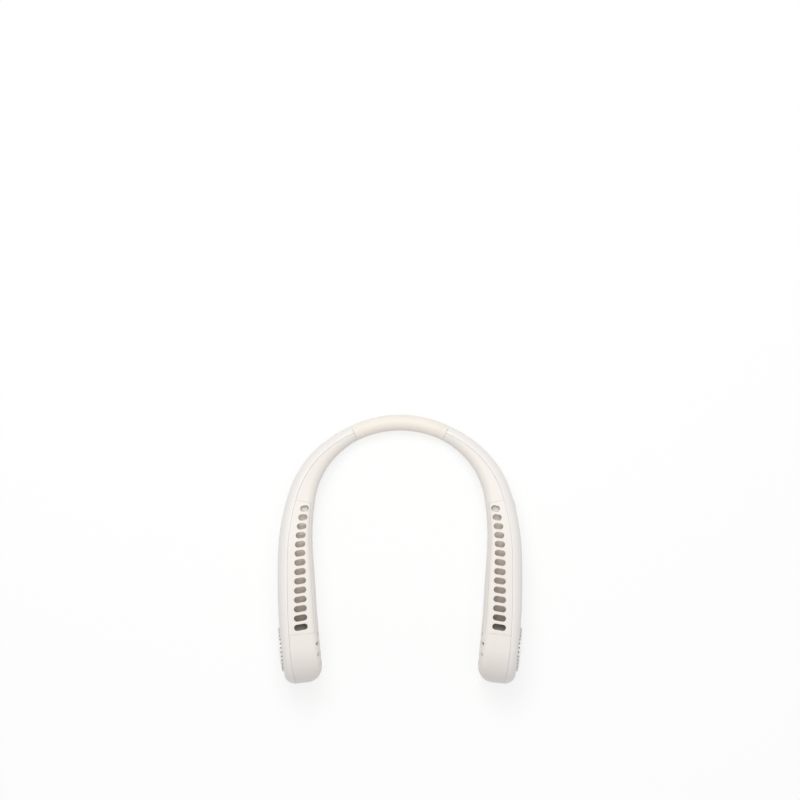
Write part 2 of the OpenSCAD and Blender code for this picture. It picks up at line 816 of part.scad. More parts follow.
module stator_core() {
    root_r = tube_r + coil_t;
    color("#7d8085")
        on_fan()
            translate([0, 0, core_bottom])
                linear_extrude(height = core_top - core_bottom)
                    difference() {
                        union() {
                            circle(r = root_r);
                            for (k = [0:tooth_count - 1])
                                rotate([0, 0, 360 * k / tooth_count])
                                    translate([0, -coil_t / 2])
                                        square([stator_r - coil_t / 2, coil_t]);
                            difference() {
                                circle(r = stator_r);
                                circle(r = stator_r - shoe_t);
                                for (k = [0:tooth_count - 1])
                                    rotate([0, 0, 360 * (k + 0.5) / tooth_count])
                                        translate([0, -slot_w / 2])
                                            square([stator_r + overrun, slot_w]);
                            }
                        }
                        circle(r = tube_r + shaft_play);
                    }
}
module stator_coils() {
    color("#b5652f")
        on_fan()
            for (k = [0:tooth_count - 1])
                rotate([0, 0, 360 * k / tooth_count])
                    translate([tube_r + coil_t + 2 * shaft_play, 0, 0])
                        difference() {
                            translate([0, -coil_t, core_bottom - coil_t / 2])
                                cube([stator_r - tube_r - 2 * coil_t, 2 * coil_t,
                                      core_top - core_bottom + coil_t]);
                            translate([-overrun, -coil_t / 2 - shaft_play, core_bottom - shaft_play])
                                cube([stator_r, coil_t + 2 * shaft_play,
                                      core_top - core_bottom + 2 * shaft_play]);
                        }
}
module motor_bush() {
    color("#b08d4a")
        on_fan()
            tube(bush_r, shaft_r + shaft_play, base_top + fit, core_top + cup_t / 2);
}

// Battery cell with its raised end, and foam saddles under it
module battery_cell() {
    color("#4f86a6")
        on_cell()
            rotate([0, 90, 0]) {
                disc(cell_r, -cell_len / 2, cell_len / 2 - overrun);
                disc(cell_r / 3, cell_len / 2 - overrun - fit, cell_len / 2);
            }
}
module battery_pads() {
    color("#4a4a4a")
        for (side = pad_places) {
            s = cell_mid + side * (cell_len - pad_len) / 2;
            floor_z = max(underside(s - pad_len / 2), underside(s + pad_len / 2)) + wall + shaft_play;
            difference() {
                on_cell()
                    translate([side * (cell_len - pad_len) / 2 - pad_len / 2, -pad_half_w - pad_inset,
                               floor_z - cell_z])
                        cube([pad_len, 2 * pad_half_w, cell_z - floor_z - cell_r / 3]);
                on_cell()
                    rotate([0, 90, 0])
                        disc(cell_r + shaft_play, -cell_len, cell_len);
            }
        }
}

// Controls of the right arm
module main_board() {
    color("#2c6a45")
        on_board()
            translate([-board_back, -socket_t / 2 - board_t, wall + seat])
                cube([board_back + board_front, board_t, board_h]);
}
module charging_socket() {
    color("#a9abae")
        on_board()
            translate([0, 0, seat])
                difference() {
                    linear_extrude(height = socket_depth)
                        stadium(socket_w, socket_t);
                    translate([0, 0, -overrun])
                        linear_extrude(height = socket_depth)
                            stadium(socket_w - 2 * seat, socket_t - 2 * seat);
                }
}
module socket_tongue() {
    tongue_w = 6.7;
    tongue_t = 0.7;
    color("#1d1d1f")
        on_board()
            translate([-tongue_w / 2, -tongue_t / 2, 3 * seat])
                cube([tongue_w, tongue_t, socket_depth - overrun - 2 * seat]);
}
module status_led() {
    led_w = 1.6;
    color("#f4f1d0")
        on_board()
            translate([led_at - socket_at - led_w / 2, -socket_t / 2, 2 * wall])
                cube([led_w, socket_t / 2 + led_hole_r, led_w / 2]);
}
module light_pipe() {
    color("#eef2f3")
        on_board()
            translate([led_at - socket_at, 0, shaft_play])
                cylinder(r = led_hole_r, h = 2 * wall - 2 * shaft_play);
}
switch_half = 2.3;
switch_t = 2.2;
plunger_r = 1.1;
plunger_h = 0.9;
switch_top = switch_t - socket_t / 2;
flange_gap = 0.5;
flange_t = 0.8;
button_proud = 0.8;
flange_top = button_wall_y - wall - flange_gap;
module tact_switch() {
    color("#202124")
        on_button()
            difference() {
                translate([-switch_half, -switch_half, -socket_t / 2])
                    cube([2 * switch_half, 2 * switch_half, switch_t]);
                disc(plunger_r + shaft_play, switch_top - plunger_h - button_travel, switch_top + overrun);
            }
}
module switch_plunger() {
    color("#8c5a3c")
        on_button()
            disc(plunger_r, switch_top - plunger_h + fit, switch_top + plunger_h);
}
module power_button() {
    color("#f4f1ec")
        on_button() {
            disc(plunger_r + seat, switch_top + plunger_h, flange_top - flange_t + fit);
            disc(button_r + flange_t, flange_top - flange_t, flange_top);
            disc(button_r, flange_top - fit, button_wall_y + button_proud - seat);
            translate([0, 0, button_wall_y + button_proud - seat])
                cylinder(r1 = button_r, r2 = button_r - seat, h = seat);
        }
}

// Every piece by its name; the left arm mirrors the right
band_sleeve();
band_core();
link_cable();
outer_shell_right();
inner_shell_right();
vent_strip();  // vent_strip_right
air_duct();  // air_duct_right
band_anchor();  // band_anchor_right
fan_cap();  // fan_cap_right
cap_screw();  // cap_screw_right
fan_housing();  // fan_housing_right
housing_lid();  // housing_lid_right
impeller();  // impeller_right
rotor_cup();  // rotor_cup_right
rotor_magnet();  // rotor_magnet_right
motor_shaft();  // motor_shaft_right
motor_base();  // motor_base_right
motor_screws();  // motor_screws_right
motor_board();  // motor_board_right
stator_core();  // stator_core_right
stator_coils();  // stator_coils_right
motor_bush();  // motor_bush_right
battery_cell();  // battery_cell_right
battery_pads();  // battery_pads_right
outer_shell_left();
inner_shell_left();
left() vent_strip();  // vent_strip_left
left() air_duct();  // air_duct_left
left() band_anchor();  // band_anchor_left
left() fan_cap();  // fan_cap_left
left() cap_screw();  // cap_screw_left
left() fan_housing();  // fan_housing_left
left() housing_lid();  // housing_lid_left
left() impeller();  // impeller_left
left() rotor_cup();  // rotor_cup_left
left() rotor_magnet();  // rotor_magnet_left
left() motor_shaft();  // motor_shaft_left
left() motor_base();  // motor_base_left
left() motor_screws();  // motor_screws_left
left() motor_board();  // motor_board_left
left() stator_core();  // stator_core_left
left() stator_coils();  // stator_coils_left
left() motor_bush();  // motor_bush_left
left() battery_cell();  // battery_cell_left
left() battery_pads();  // battery_pads_left
main_board();
charging_socket();
socket_tongue();
status_led();
light_pipe();
tact_switch();
switch_plunger();
power_button();
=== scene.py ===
"""Neck fan: smooth shells, vent strips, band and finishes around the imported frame."""
import json
import math

import bmesh
import bpy
import numpy as np
from bpy.props import FloatProperty, FloatVectorProperty, IntProperty, PointerProperty
from mathutils import Matrix, Vector


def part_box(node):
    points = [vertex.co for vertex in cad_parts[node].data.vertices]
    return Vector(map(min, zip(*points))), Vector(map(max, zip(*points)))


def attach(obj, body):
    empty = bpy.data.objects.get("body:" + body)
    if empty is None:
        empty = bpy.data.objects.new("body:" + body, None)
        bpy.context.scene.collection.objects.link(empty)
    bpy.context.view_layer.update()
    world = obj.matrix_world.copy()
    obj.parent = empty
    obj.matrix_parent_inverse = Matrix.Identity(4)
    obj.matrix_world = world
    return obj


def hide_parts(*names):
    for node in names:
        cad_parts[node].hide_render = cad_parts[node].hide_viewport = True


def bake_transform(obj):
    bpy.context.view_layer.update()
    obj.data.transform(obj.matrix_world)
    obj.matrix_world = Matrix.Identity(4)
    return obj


bl_info = {
    "name": "Neck Fan",
    "version": (1, 0, 0),
    "blender": (4, 5, 0),
    "location": "View3D > Sidebar > Neck Fan",
    "description": "Builds the shells, vents, band and finishes of a wearable neck fan",
    "category": "Object",
}

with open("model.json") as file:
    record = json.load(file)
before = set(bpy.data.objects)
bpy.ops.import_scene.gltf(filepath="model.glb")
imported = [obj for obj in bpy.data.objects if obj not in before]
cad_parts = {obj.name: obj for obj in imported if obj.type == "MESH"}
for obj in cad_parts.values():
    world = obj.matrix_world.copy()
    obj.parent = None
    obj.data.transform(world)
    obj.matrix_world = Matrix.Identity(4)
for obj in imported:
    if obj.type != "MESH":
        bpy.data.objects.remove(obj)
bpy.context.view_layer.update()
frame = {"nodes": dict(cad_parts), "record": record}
MM = 0.001
SIDES = {"right": 1, "left": -1}
MERGE = 2e-6            # points nearer than this become one
SLIVER = 1e-7           # edges shorter than this vanish
TINY = 1e-5             # radius where a turned outline starts, so that its pole closes when points merge
LAP = 0.1 * MM          # how far a rib or boss reaches into what carries it
SEAT = 0.03 * MM        # gap under the ribs and posts of the caps
LINING_GAP = 0.01 * MM  # keeps the linings of an arm's two shells apart
FLOOR_GAP = 0.15 * MM   # from the fan down to the floor

# The arm is fully wide at WIDTH_END of the way to the fan, its arch ends at ARCH_END, and its seam drifts
# over the last DRIFT_RUN. Width and depth grow by these powers of a sine.
WIDTH_END, ARCH_END, DRIFT_RUN = 0.895, 0.89, 0.25
WIDTH_POWER, DEPTH_POWER = 1.34, 1.3

SPOKES = 3            # of the outer intake, and the ring sectors between them
ARC_STEPS = 40, 24    # points along the outer and the inner arc of a sector
RIBS = 6              # under each cap
WALL_CUT = 3 * MM     # depth of a hole through a side wall
FLOOR_CUT = 4 * MM    # depth of a hole through the underside
SOCKET_STEPS = 24     # points along each round end of the charging socket
BAND_SIDES = 64       # of the band's round sections
BAND_STEP = 0.6 * MM  # from section to section of the band
BEND_MARGIN = 2 * MM  # margin inside both ends of each half of the band


# Settings that a user would change

def metres(name, description, millimetres):
    """A length property in metres, with its default given in millimetres."""
    return FloatProperty(name=name, description=description, default=millimetres * MM, precision=5,
                         unit="LENGTH", subtype="DISTANCE")


def tint(name, description, rgb):
    """A colour property, linear."""
    return FloatVectorProperty(name=name, description=description, default=rgb, size=3, min=0, max=1,
                               subtype="COLOR")


class NECKFAN_PG_arm(bpy.types.PropertyGroup):
    """Plan and section of the arms."""
    band_r: metres("Band radius", "Radius of the band's round section", 6.2)
    band_half_len: metres("Sleeve half length", "Half length of the soft sleeve along its curve", 37)
    crown_bend_r: metres("Crown bend", "Radius of the band and of the crown of the arms", 81.5)
    crown_len: metres("Crown length", "Length of the first bend from the middle of the band", 61)
    shoulder_bend_r: metres("Shoulder bend", "Radius of the second bend", 70)
    shoulder_len: metres("Shoulder length", "Length of the second bend", 41)
    upper_bend_r: metres("Upper bend", "Radius of the third bend", 180)
    upper_len: metres("Upper length", "Length of the third bend", 48)
    lower_bend_r: metres("Lower bend", "Radius of the fourth bend, nearly straight", 2400)
    lower_len: metres("Lower length", "Length of the fourth bend", 35)
    hook_bend_r: metres("Hook bend", "Radius of the last bend, which turns the fan inwards", 430)
    hook_len: metres("Hook length", "Length of the last bend", 25)
    fan_run: metres("Fan run", "Straight run from the last bend to the fan's axis", 10.5)
    tip_len: metres("Tip length", "Length of the rounded end from the fan's axis", 27.3)
    half_w: metres("Half width", "Half width of an arm at its fan", 14.4)
    half_d: metres("Half depth", "Half depth of an arm at its fan", 24)
    wall: metres("Wall", "Wall of the shells", 1.6)
    outer_edge_r: metres("Outer edge", "Edge radius on the outer side", 7.5)
    inner_edge_r: metres("Inner edge", "Edge radius on the side of the neck", 5)
    seam_w: metres("Outer shell width", "Width of the outer shell seen from above", 7.8)
    seam_drift: metres("Seam drift", "Narrowing of the outer shell at the fan", 1.2)
    seam_line: metres("Seam line", "Width of the seam at the shells' surface, which closes below it", 0.1)
    seam_round: metres("Seam rounding", "Rounded edge of each shell along the seam", 0.2)
    arch_h: metres("Arch", "Rise of the underside between the band and the fan", 2.5)
    tip_outer_r: metres("Outer tip rounding", "Rounding of the tip outside, seen from above", 7.8)
    tip_inner_r: metres("Inner tip rounding", "Rounding of the tip inside, seen from above", 11.8)
    mould_r: metres("Mould rounding", "Least distance of the seam from the tip's edge", 0.5)
    run_steps: IntProperty(name="Run steps", description="Sections from the band to the fan",
                           default=150, min=20)
    tip_steps: IntProperty(name="Tip steps", description="Sections round the tip", default=26, min=8)


class NECKFAN_PG_vents(bpy.types.PropertyGroup):
    """The vent strip and its slots."""
    count: IntProperty(name="Vents", description="Number of vents in each arm", default=14, min=2)
    pitch: metres("Pitch", "Distance from vent to vent", 7.1)
    width: metres("Width", "Width of a vent along the arm", 4.6)
    first_len: metres("First length", "Length of the vent nearest the band", 6.6)
    last_len: metres("Last length", "Length of the vent nearest the fan", 10.4)
    to_fan: metres("To fan", "Distance from the last vent to the fan's axis", 16)
    margin: metres("Margin", "Strip beyond the first vent and beyond the last", 5.2)
    fit: metres("Fit", "Gap round the strip", 0.1)
    lip: metres("Lip", "Rounding of a vent's mouth", 0.5)
    duct_t: metres("Duct wall", "Wall of the air duct under the strip", 1.1)
    duct_room: metres("Duct room", "Room beside the ramp in the duct", 0.4)
    ramp_depth: metres("Ramp depth", "Depth of the ramp's high end under the arm's top", 3.9)
    duct_depth: FloatVectorProperty(name="Duct depth", description="Depth of the duct's floor under the "
                                    "arm's top, before the first vent and at the third", size=2,
                                    default=(6.75 * MM, 8.35 * MM), precision=5, unit="LENGTH",
                                    subtype="XYZ_LENGTH")
    first_share: FloatProperty(name="First share", default=0.55, min=0.3, max=0.7, description="Place of "
                               "the first vent between the seam and the side of the neck")
    last_share: FloatProperty(name="Last share", default=0.44, min=0.3, max=0.7, description="Place of "
                              "the last vent between the seam and the side of the neck")
    tilt: FloatProperty(name="Tilt", description="Tilt of the vents from straight across",
                        default=math.radians(10), unit="ROTATION", subtype="ANGLE")


class NECKFAN_PG_fan(bpy.types.PropertyGroup):
    """Intakes at the fans, and the controls."""
    cap_r: metres("Cap radius", "Radius of the round cap outside each fan", 17.3)
    cap_t: metres("Cap thickness", "Thickness of the cap at its middle", 1.4)
    cap_gap: metres("Cap gap", "Air gap between the cap and the shell", 0.8)
    cap_edge: metres("Cap edge", "Rounding of the cap's lower edge", 0.55)
    cap_crown: metres("Cap crown", "Width of the cap's rounded shoulder", 3.4)
    cap_rise: metres("Cap rise", "Rise of the cap's face to its middle", 0.2)
    boss_r: metres("Boss radius", "Radius of the boss that carries the cap", 2.6)
    rib_r: metres("Rib reach", "Radius that the cap's ribs reach", 15.1)
    rib_w: metres("Rib width", "Width of a rib under the cap", 1.1)
    posts: IntProperty(name="Posts", description="Small posts under the edge of the cap", default=30, min=3)
    post_at: metres("Post circle", "Radius of the circle of posts", 15.9)
    post_w: metres("Post width", "Width of a post round the circle", 2.6)
    post_t: metres("Post depth", "Depth of a post across the circle", 1.1)
    intake_r: metres("Intake radius", "Radius of the outer intake", 14.4)
    hub_r: metres("Hub radius", "Radius of the plain middle of the outer intake", 5.4)
    spoke_w: metres("Spoke", "Width of a spoke across the outer intake", 1.8)
    screw_hole_r: metres("Screw hole", "Radius of the hole for the cap's screw", 0.95)
    slot_inner_r: metres("Slots from", "Inner radius of the slots on the side of the neck", 9)
    slot_outer_r: metres("Slots to", "Outer radius of the slots on the side of the neck", 23.2)
    slot_w: metres("Slot width", "Width of a slot on the side of the neck", 2.6)
    slot_lip: metres("Slot lip", "Rounding of a slot's mouth", 0.5)
    slots: IntProperty(name="Slots", description="Slots on the side of the neck", default=16, min=4)
    swirl: FloatProperty(name="Swirl", description="Turn of the slots from straight out",
                         default=math.radians(22), unit="ROTATION", subtype="ANGLE")
    socket_at: metres("Socket", "Distance from the charging socket to the middle of the band", 121)
    socket_w: metres("Socket width", "Width of the charging socket's shell", 8.94)
    socket_t: metres("Socket thickness", "Thickness of the charging socket's shell", 3.26)
    socket_fit: metres("Socket fit", "Gap round the charging socket", 0.15)
    socket_lip: metres("Socket lip", "Rounding of the mouth round the charging socket", 0.35)
    led_back: metres("Light", "Distance from the charging socket to the light", 7.47)
    led_r: metres("Light radius", "Radius of the light's hole", 0.68)
    led_lip: metres("Light lip", "Rounding of the light's hole", 0.2)
    pipe_fit: metres("Light fit", "Gap round the light pipe and before its end", 0.03)
    pipe_len: metres("Light pipe", "Length of the light pipe", 3.14)
    pipe_dome: metres("Light dome", "Height of the dome at the light pipe's end", 0.16)
    button_back: metres("Button", "Distance from the charging socket to the power button", 10)
    button_z: metres("Button place", "Height of the button's middle above the socket's face", 13.6)
    button_r: metres("Button radius", "Radius of the power button", 3.5)
    button_fit: metres("Button fit", "Gap round the power button", 0.15)
    button_lip: metres("Button lip", "Rounding of the hole round the power button", 0.3)
    button_proud: metres("Button height", "Height of the button above the shell", 0.8)
    button_edge: metres("Button edge", "Rounded edge of the button", 0.45)
    button_dish: metres("Button dish", "Depth of the hollow in the button's face", 0.22)


class NECKFAN_PG_band(bpy.types.PropertyGroup):
    """The soft sleeve and what runs inside it."""
    bore_r: metres("Bore", "Radius of the hole through the sleeve", 4)
    cable_r: metres("Cable radius", "Radius of the cable between the arms", 1.1)
    fit: metres("Fit", "Gap round the core and the cable", 0.15)
    grip: metres("Grip", "Length of the core inside each arm", 11)
    lip: metres("Lip", "Rounded end of the sleeve", 0.3)
    ring_pitch: metres("Ring pitch", "Distance between the fine rings near the sleeve's ends", 2.2)
    ring_w: metres("Ring width", "Width of a fine ring", 0.9)
    ring_depth: metres("Ring depth", "Depth of a fine ring", 0.14)


class NECKFAN_PG_colours(bpy.types.PropertyGroup):
    """Base colours of the finishes."""
    outer: tint("Outer shell", "Satin white of the outer shells", (0.875, 0.845, 0.82))
    inner: tint("Inner shell", "Warm satin white of the inner shells", (0.865, 0.815, 0.775))
    sleeve: tint("Sleeve", "Cream silicone of the neck band", (0.905, 0.85, 0.78))
    cap: tint("Cap", "Gloss white of the round caps and the button", (0.92, 0.895, 0.88))
    duct: tint("Duct", "Pale plastic inside the arms", (0.82, 0.73, 0.645))
    floor: tint("Floor", "Pale floor", (0.8, 0.8, 0.8))


# The arm as formulas

def sunk(over, r):
    """Drop of a circle of radius r at a distance over from its top: r less the root of r^2 - over^2."""
    return r - np.sqrt(np.clip(r ** 2 - over ** 2, 0, None))


class Arm:
    """The right arm in whole-array formulas. s runs along the arm from the middle of the band, u goes
    outwards from its path and z up, all in metres. The left arm is its mirror image in X."""

    def __init__(self, size):
        self.size = size
        self.bends = [
            (size.crown_bend_r, size.crown_len), (size.shoulder_bend_r, size.shoulder_len),
            (size.upper_bend_r, size.upper_len), (size.lower_bend_r, size.lower_len),
            (size.hook_bend_r, size.hook_len)]
        self.fan_at = sum(run for _, run in self.bends) + size.fan_run
        self.shell_at = size.band_half_len + size.seam_line
        self.origin_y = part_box("band_sleeve")[1][1] - size.band_r

    def place(self, s):
        """Arcs end to end: each adds r(sin(h + turn) - sin h) in X and r(cos(h + turn) - cos h) in Y,
        with turn = length / r, and a straight line follows the last. Gives x, y and heading."""
        s = np.asarray(s, float)
        x, y, heading, start, h = 0.0, 0.0, 0.0, 0.0, 0.0
        for r, run in self.bends:
            turn = np.clip(s - start, None if start == 0 else 0, run) / r
            x = x + r * (np.sin(h + turn) - math.sin(h))
            y = y + r * (np.cos(h + turn) - math.cos(h))
            heading = heading + turn
            start += run
            h += run / r
        rest = np.maximum(s - start, 0)
        return x + rest * math.cos(h), y - rest * math.sin(h), heading

    def at(self, s, u, z):
        """A point: the path's place at s, moved u to the left of the way back, at height z."""
        s, u, z = np.broadcast_arrays(np.asarray(s, float), u, z)
        x, y, heading = self.place(s)
        return np.stack([x + u * np.sin(heading), y + u * np.cos(heading) + self.origin_y, z], axis=-1)

    def grown(self, s, end, power):
        """sin(90 degrees times the way from the sleeve to end), to a power."""
        start = self.size.band_half_len
        share = np.clip((np.asarray(s, float) - start) / (end - start), 0, 1)
        return np.sin(share * math.pi / 2) ** power

    def width_share(self, s):
        """How far the arm has grown at s from the band's width to its full width."""
        return self.grown(s, self.fan_at * WIDTH_END, WIDTH_POWER)

    def half_w(self, s):
        """Half width at s, before the tip's rounding."""
        return self.size.band_r + (self.size.half_w - self.size.band_r) * self.width_share(s)

    def half_d(self, s):
        """Half depth at s, before the tip's rounding."""
        share = self.grown(s, self.fan_at, DEPTH_POWER)
        return self.size.band_r + (self.size.half_d - self.size.band_r) * share

    def seam_u(self, s):
        """The seam moves outwards with the arm's width, and by the square of the way near the fan."""
        size = self.size
        drift = np.clip(1 - (self.fan_at - np.asarray(s, float)) / (self.fan_at * DRIFT_RUN), 0, 1) ** 2
        return (size.half_w - size.seam_w) * self.width_share(s) + size.seam_drift * drift

    def underside(self, s):
        """A squared sine hump between the sleeve and the fan."""
        start = self.size.band_half_len
        share = np.clip((np.asarray(s, float) - start) / (self.fan_at * ARCH_END - start), 0, 1)
        return self.size.arch_h * np.sin(math.pi * share) ** 2

    def sections(self, s, inset=0.0):
        """Outer and inner half width, middle height, half depth, both edge radii and the seam at s.
        Past the fan the depth follows an ellipse and both widths follow quarter circles, to the tip,
        and the seam drifts outwards to the tip's middle by the fourth power of the way."""
        size = self.size
        s = np.asarray(s, float)
        t = np.clip(s - self.fan_at, 0, None)
        reach = size.tip_len - inset
        depth_share = np.sqrt(np.clip(1 - (t / reach) ** 2, 0, 1))
        depth = (self.half_d(s) - inset) * depth_share

        def rounded(r):
            return self.half_w(s) - inset - sunk(np.clip(t - (size.tip_len - r), 0, None), r - inset)

        out, inn = rounded(size.tip_outer_r), rounded(size.tip_inner_r)
        r_in = size.band_r + (size.inner_edge_r - size.band_r) * self.width_share(s)
        r_in = np.minimum(r_in - inset, depth)
        r_out = np.minimum(np.minimum(size.outer_edge_r - inset, depth), out + inn - r_in)
        seam_end = size.half_w - size.tip_outer_r - size.mould_r
        seam = seam_end + (self.seam_u(s) - seam_end) * (1 - (t / size.tip_len) ** 4)
        # A lining's seam may come a little nearer to its edge than the skin's
        seam = np.minimum(seam, out - size.mould_r + inset / 4)
        middle = self.underside(s) + self.half_d(s)
        return out, inn, middle, depth, r_out, r_in, seam

    def top(self, s, u):
        """Height of the upper surface at s and u: level between the two rounded edges."""
        out, inn, middle, depth, r_out, r_in, _ = self.sections(s)
        over_out = np.clip(u - (out - r_out), 0, r_out)
        over_in = np.clip(-u - (inn - r_in), 0, r_in)
        return middle + depth - sunk(over_out, r_out) - sunk(over_in, r_in)

    def flank(self, s, z, side):
        """Distance u of the outer (side 1) or neck (side -1) surface at s and height z."""
        out, inn, middle, depth, r_out, r_in, _ = self.sections(s)
        half, r = (out, r_out) if side > 0 else (inn, r_in)
        return side * (half - sunk(np.clip(np.abs(z - middle) - (depth - r), 0, r), r))

    def fan_matrix(self):
        """Frame of a fan: X to the tip, Y down, Z outwards along the axis."""
        return self.matrix(self.fan_at, 0, self.size.half_d) @ Matrix.Rotation(-math.pi / 2, 4, "X")

    def matrix(self, s, u, z):
        """Frame on the path at s: X along the arm, Y outwards, Z up."""
        heading = float(self.place(s)[2])
        return Matrix.Translation(self.at(s, u, z).tolist()) @ Matrix.Rotation(-heading, 4, "Z")


# Meshes from arrays

def numbered(points, closed=False, looped=False):
    """The numbers of an array's points, row by row. Closed rows repeat their first point at the end, and
    a looped grid its first row."""
    number = np.arange(points[..., 0].size).reshape(points.shape[:-1])
    if closed:
        number = np.concatenate([number, number[..., :1]], axis=-1)
    return np.concatenate([number, number[:1]]) if looped else number


def quads(first, second):
    """Quads between two rows of point numbers, or between each row of two stacks."""
    faces = np.stack([first[..., :-1], first[..., 1:], second[..., 1:], second[..., :-1]], axis=-1)
    return faces.reshape(-1, 4)


def tube(rings, looped=False):
    """A closed solid over points [ring, point, xyz]: quads from ring to ring, then back to the first
    ring, or else a flat face over each end."""
    number = numbered(rings, closed=True, looped=looped)
    faces = quads(number[:-1], number[1:]).tolist()
    if not looped:
        faces += [number[0, -2::-1].tolist(), number[-1, :-1].tolist()]
    return rings.reshape(-1, 3), faces


def mesh_object(name, points, faces, sharp=40):
    """A mesh from an array of points and lists of faces: doubles merged, normals outwards, shaded
    smooth up to the given angle."""
    mesh = bpy.data.meshes.new(name)
    mesh.from_pydata(np.asarray(points).reshape(-1, 3).tolist(), [], [list(face) for face in faces])
    tidy(mesh, sharp)
    piece = bpy.data.objects.new(name, mesh)
    bpy.context.scene.collection.objects.link(piece)
    return piece


def tidy(mesh, sharp=40):
    """Merges doubles, deletes flaps (two faces on the same corners), turns normals outwards and shades
    smooth up to an angle in degrees."""
    work = bmesh.new()
    work.from_mesh(mesh)
    bmesh.ops.remove_doubles(work, verts=work.verts, dist=MERGE)
    bmesh.ops.dissolve_degenerate(work, edges=work.edges, dist=SLIVER)
    bmesh.ops.triangulate(work, faces=[face for face in work.faces if len(face.verts) > 4])
    corners = {}
    for face in work.faces:
        corners.setdefault(frozenset(face.verts), []).append(face)
    flaps = [face for faces in corners.values() if len(faces) > 1 for face in faces]
    bmesh.ops.delete(work, geom=flaps, context="FACES")
    bmesh.ops.recalc_face_normals(work, faces=work.faces)
    work.to_mesh(mesh)
    work.free()
    mesh.shade_smooth()
    mesh.set_sharp_from_angle(angle=math.radians(sharp))


def level(plan, height):
    """Plan points at one height."""
    return np.column_stack([plan, np.full(len(plan), height)])


def placed(points, matrix):
    """Points turned and moved by a matrix."""
    m = np.array(matrix)
    return np.asarray(points) @ m[:3, :3].T + m[:3, 3]


def mirrored(points, side):
    """Points of the right arm, or their mirror image for the left arm."""
    return np.asarray(points) * np.array([side, 1, 1])


def whole_turn(steps):
    """Angles at even steps round a circle."""
    return np.arange(steps) * 2 * math.pi / steps


def arc(r, turn):
    """Points on a circle of radius r, at the given angles."""
    return r * np.stack([np.cos(turn), np.sin(turn)], axis=-1)


def stadium(length, width, steps=12):
    """Closed outline of a slot with round ends: half circles about the ends of its middle line."""
    right = arc(width / 2, np.linspace(-math.pi / 2, math.pi / 2, steps + 1)) + [(length - width) / 2, 0]
    return np.concatenate([right, -right])


def disc(r):
    """A circle as a slot of nearly no length, which keeps its points apart."""
    return stadium(2 * r + SLIVER, 2 * r)


def turned(points, angle):
    """Plan points turned about the origin."""
    c, s = math.cos(angle), math.sin(angle)
    return points @ np.array([[c, s], [-s, c]])


def lathe(profile, steps=96):
    """A closed outline of [radius, height] pairs turned about Z."""
    r, z = np.asarray(profile, float).T
    turn = whole_turn(steps)[:, None]
    return tube(np.stack(np.broadcast_arrays(r * np.cos(turn), r * np.sin(turn), z), axis=-1), looped=True)


def joined(solids):
    """Points and faces of several solids as one list of each, the faces' numbers moved on."""
    points = [points for points, _ in solids]
    starts = np.cumsum([0] + [len(part) for part in points])
    faces = [(np.asarray(face) + start).tolist()
             for (_, solid_faces), start in zip(solids, starts) for face in solid_faces]
    return np.concatenate(points), faces


def carve(piece, cutters, sharp=40):
    """Cuts closed solids out of a piece, and merges what the cut leaves double."""
    tool = mesh_object(piece.name + "_cut", *joined(cutters))
    cut = piece.modifiers.new("Cut", "BOOLEAN")
    cut.operation, cut.solver, cut.object = "DIFFERENCE", "EXACT", tool
    mesh = bpy.data.meshes.new_from_object(piece.evaluated_get(bpy.context.evaluated_depsgraph_get()))
    piece.modifiers.remove(cut)
    old, piece.data = piece.data, mesh
    mesh.name = piece.name
    bpy.data.meshes.remove(old)
    bpy.data.objects.remove(tool)
    tidy(mesh, sharp)


def dress(piece, body, slot, *nodes, finish=None):
    """Gives a piece the finish of its slot or the finish named, puts it under its body and hides the CAD
    nodes that it stands for.
    """
    piece.data.materials.clear()
    piece.data.materials.append(finishes()[finish or slot])
    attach(piece, body)
    if nodes:
        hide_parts(*nodes)


def flat_normals(piece):
    """Lets large faces rule the shading, so that flats stay flat beside rounded edges."""
    weight = piece.modifiers.new("Flat faces", "WEIGHTED_NORMAL")
    weight.keep_sharp = True
    weight.weight = 80


# Shells

# Rows of points over a rounded edge, as shares of its rounding
EDGE_ROW = np.array([0, 0.13, 0.5, 1.0])


def stations(arm, wall):
    """Places along the arm, and how far a skin is set in there: by the wall, or over the rounded edge at
    the band. They stand close over that edge, keep a steady pace to the fan, and then a steady angle of
    the tip's ellipse."""
    size = arm.size
    lip = size.seam_round
    start = arm.shell_at + EDGE_ROW * lip
    run = np.linspace(start[-1], arm.fan_at, size.run_steps)[1:]
    angle = np.linspace(0, math.pi / 2, size.tip_steps + 1)[1:]
    tip = arm.fan_at + (size.tip_len - wall) * np.sin(angle)
    s = np.concatenate([start, run, tip])
    inset = wall if wall else lip * sunk(1 - np.clip((s - arm.shell_at) / lip, 0, 1), 1)
    return s, inset


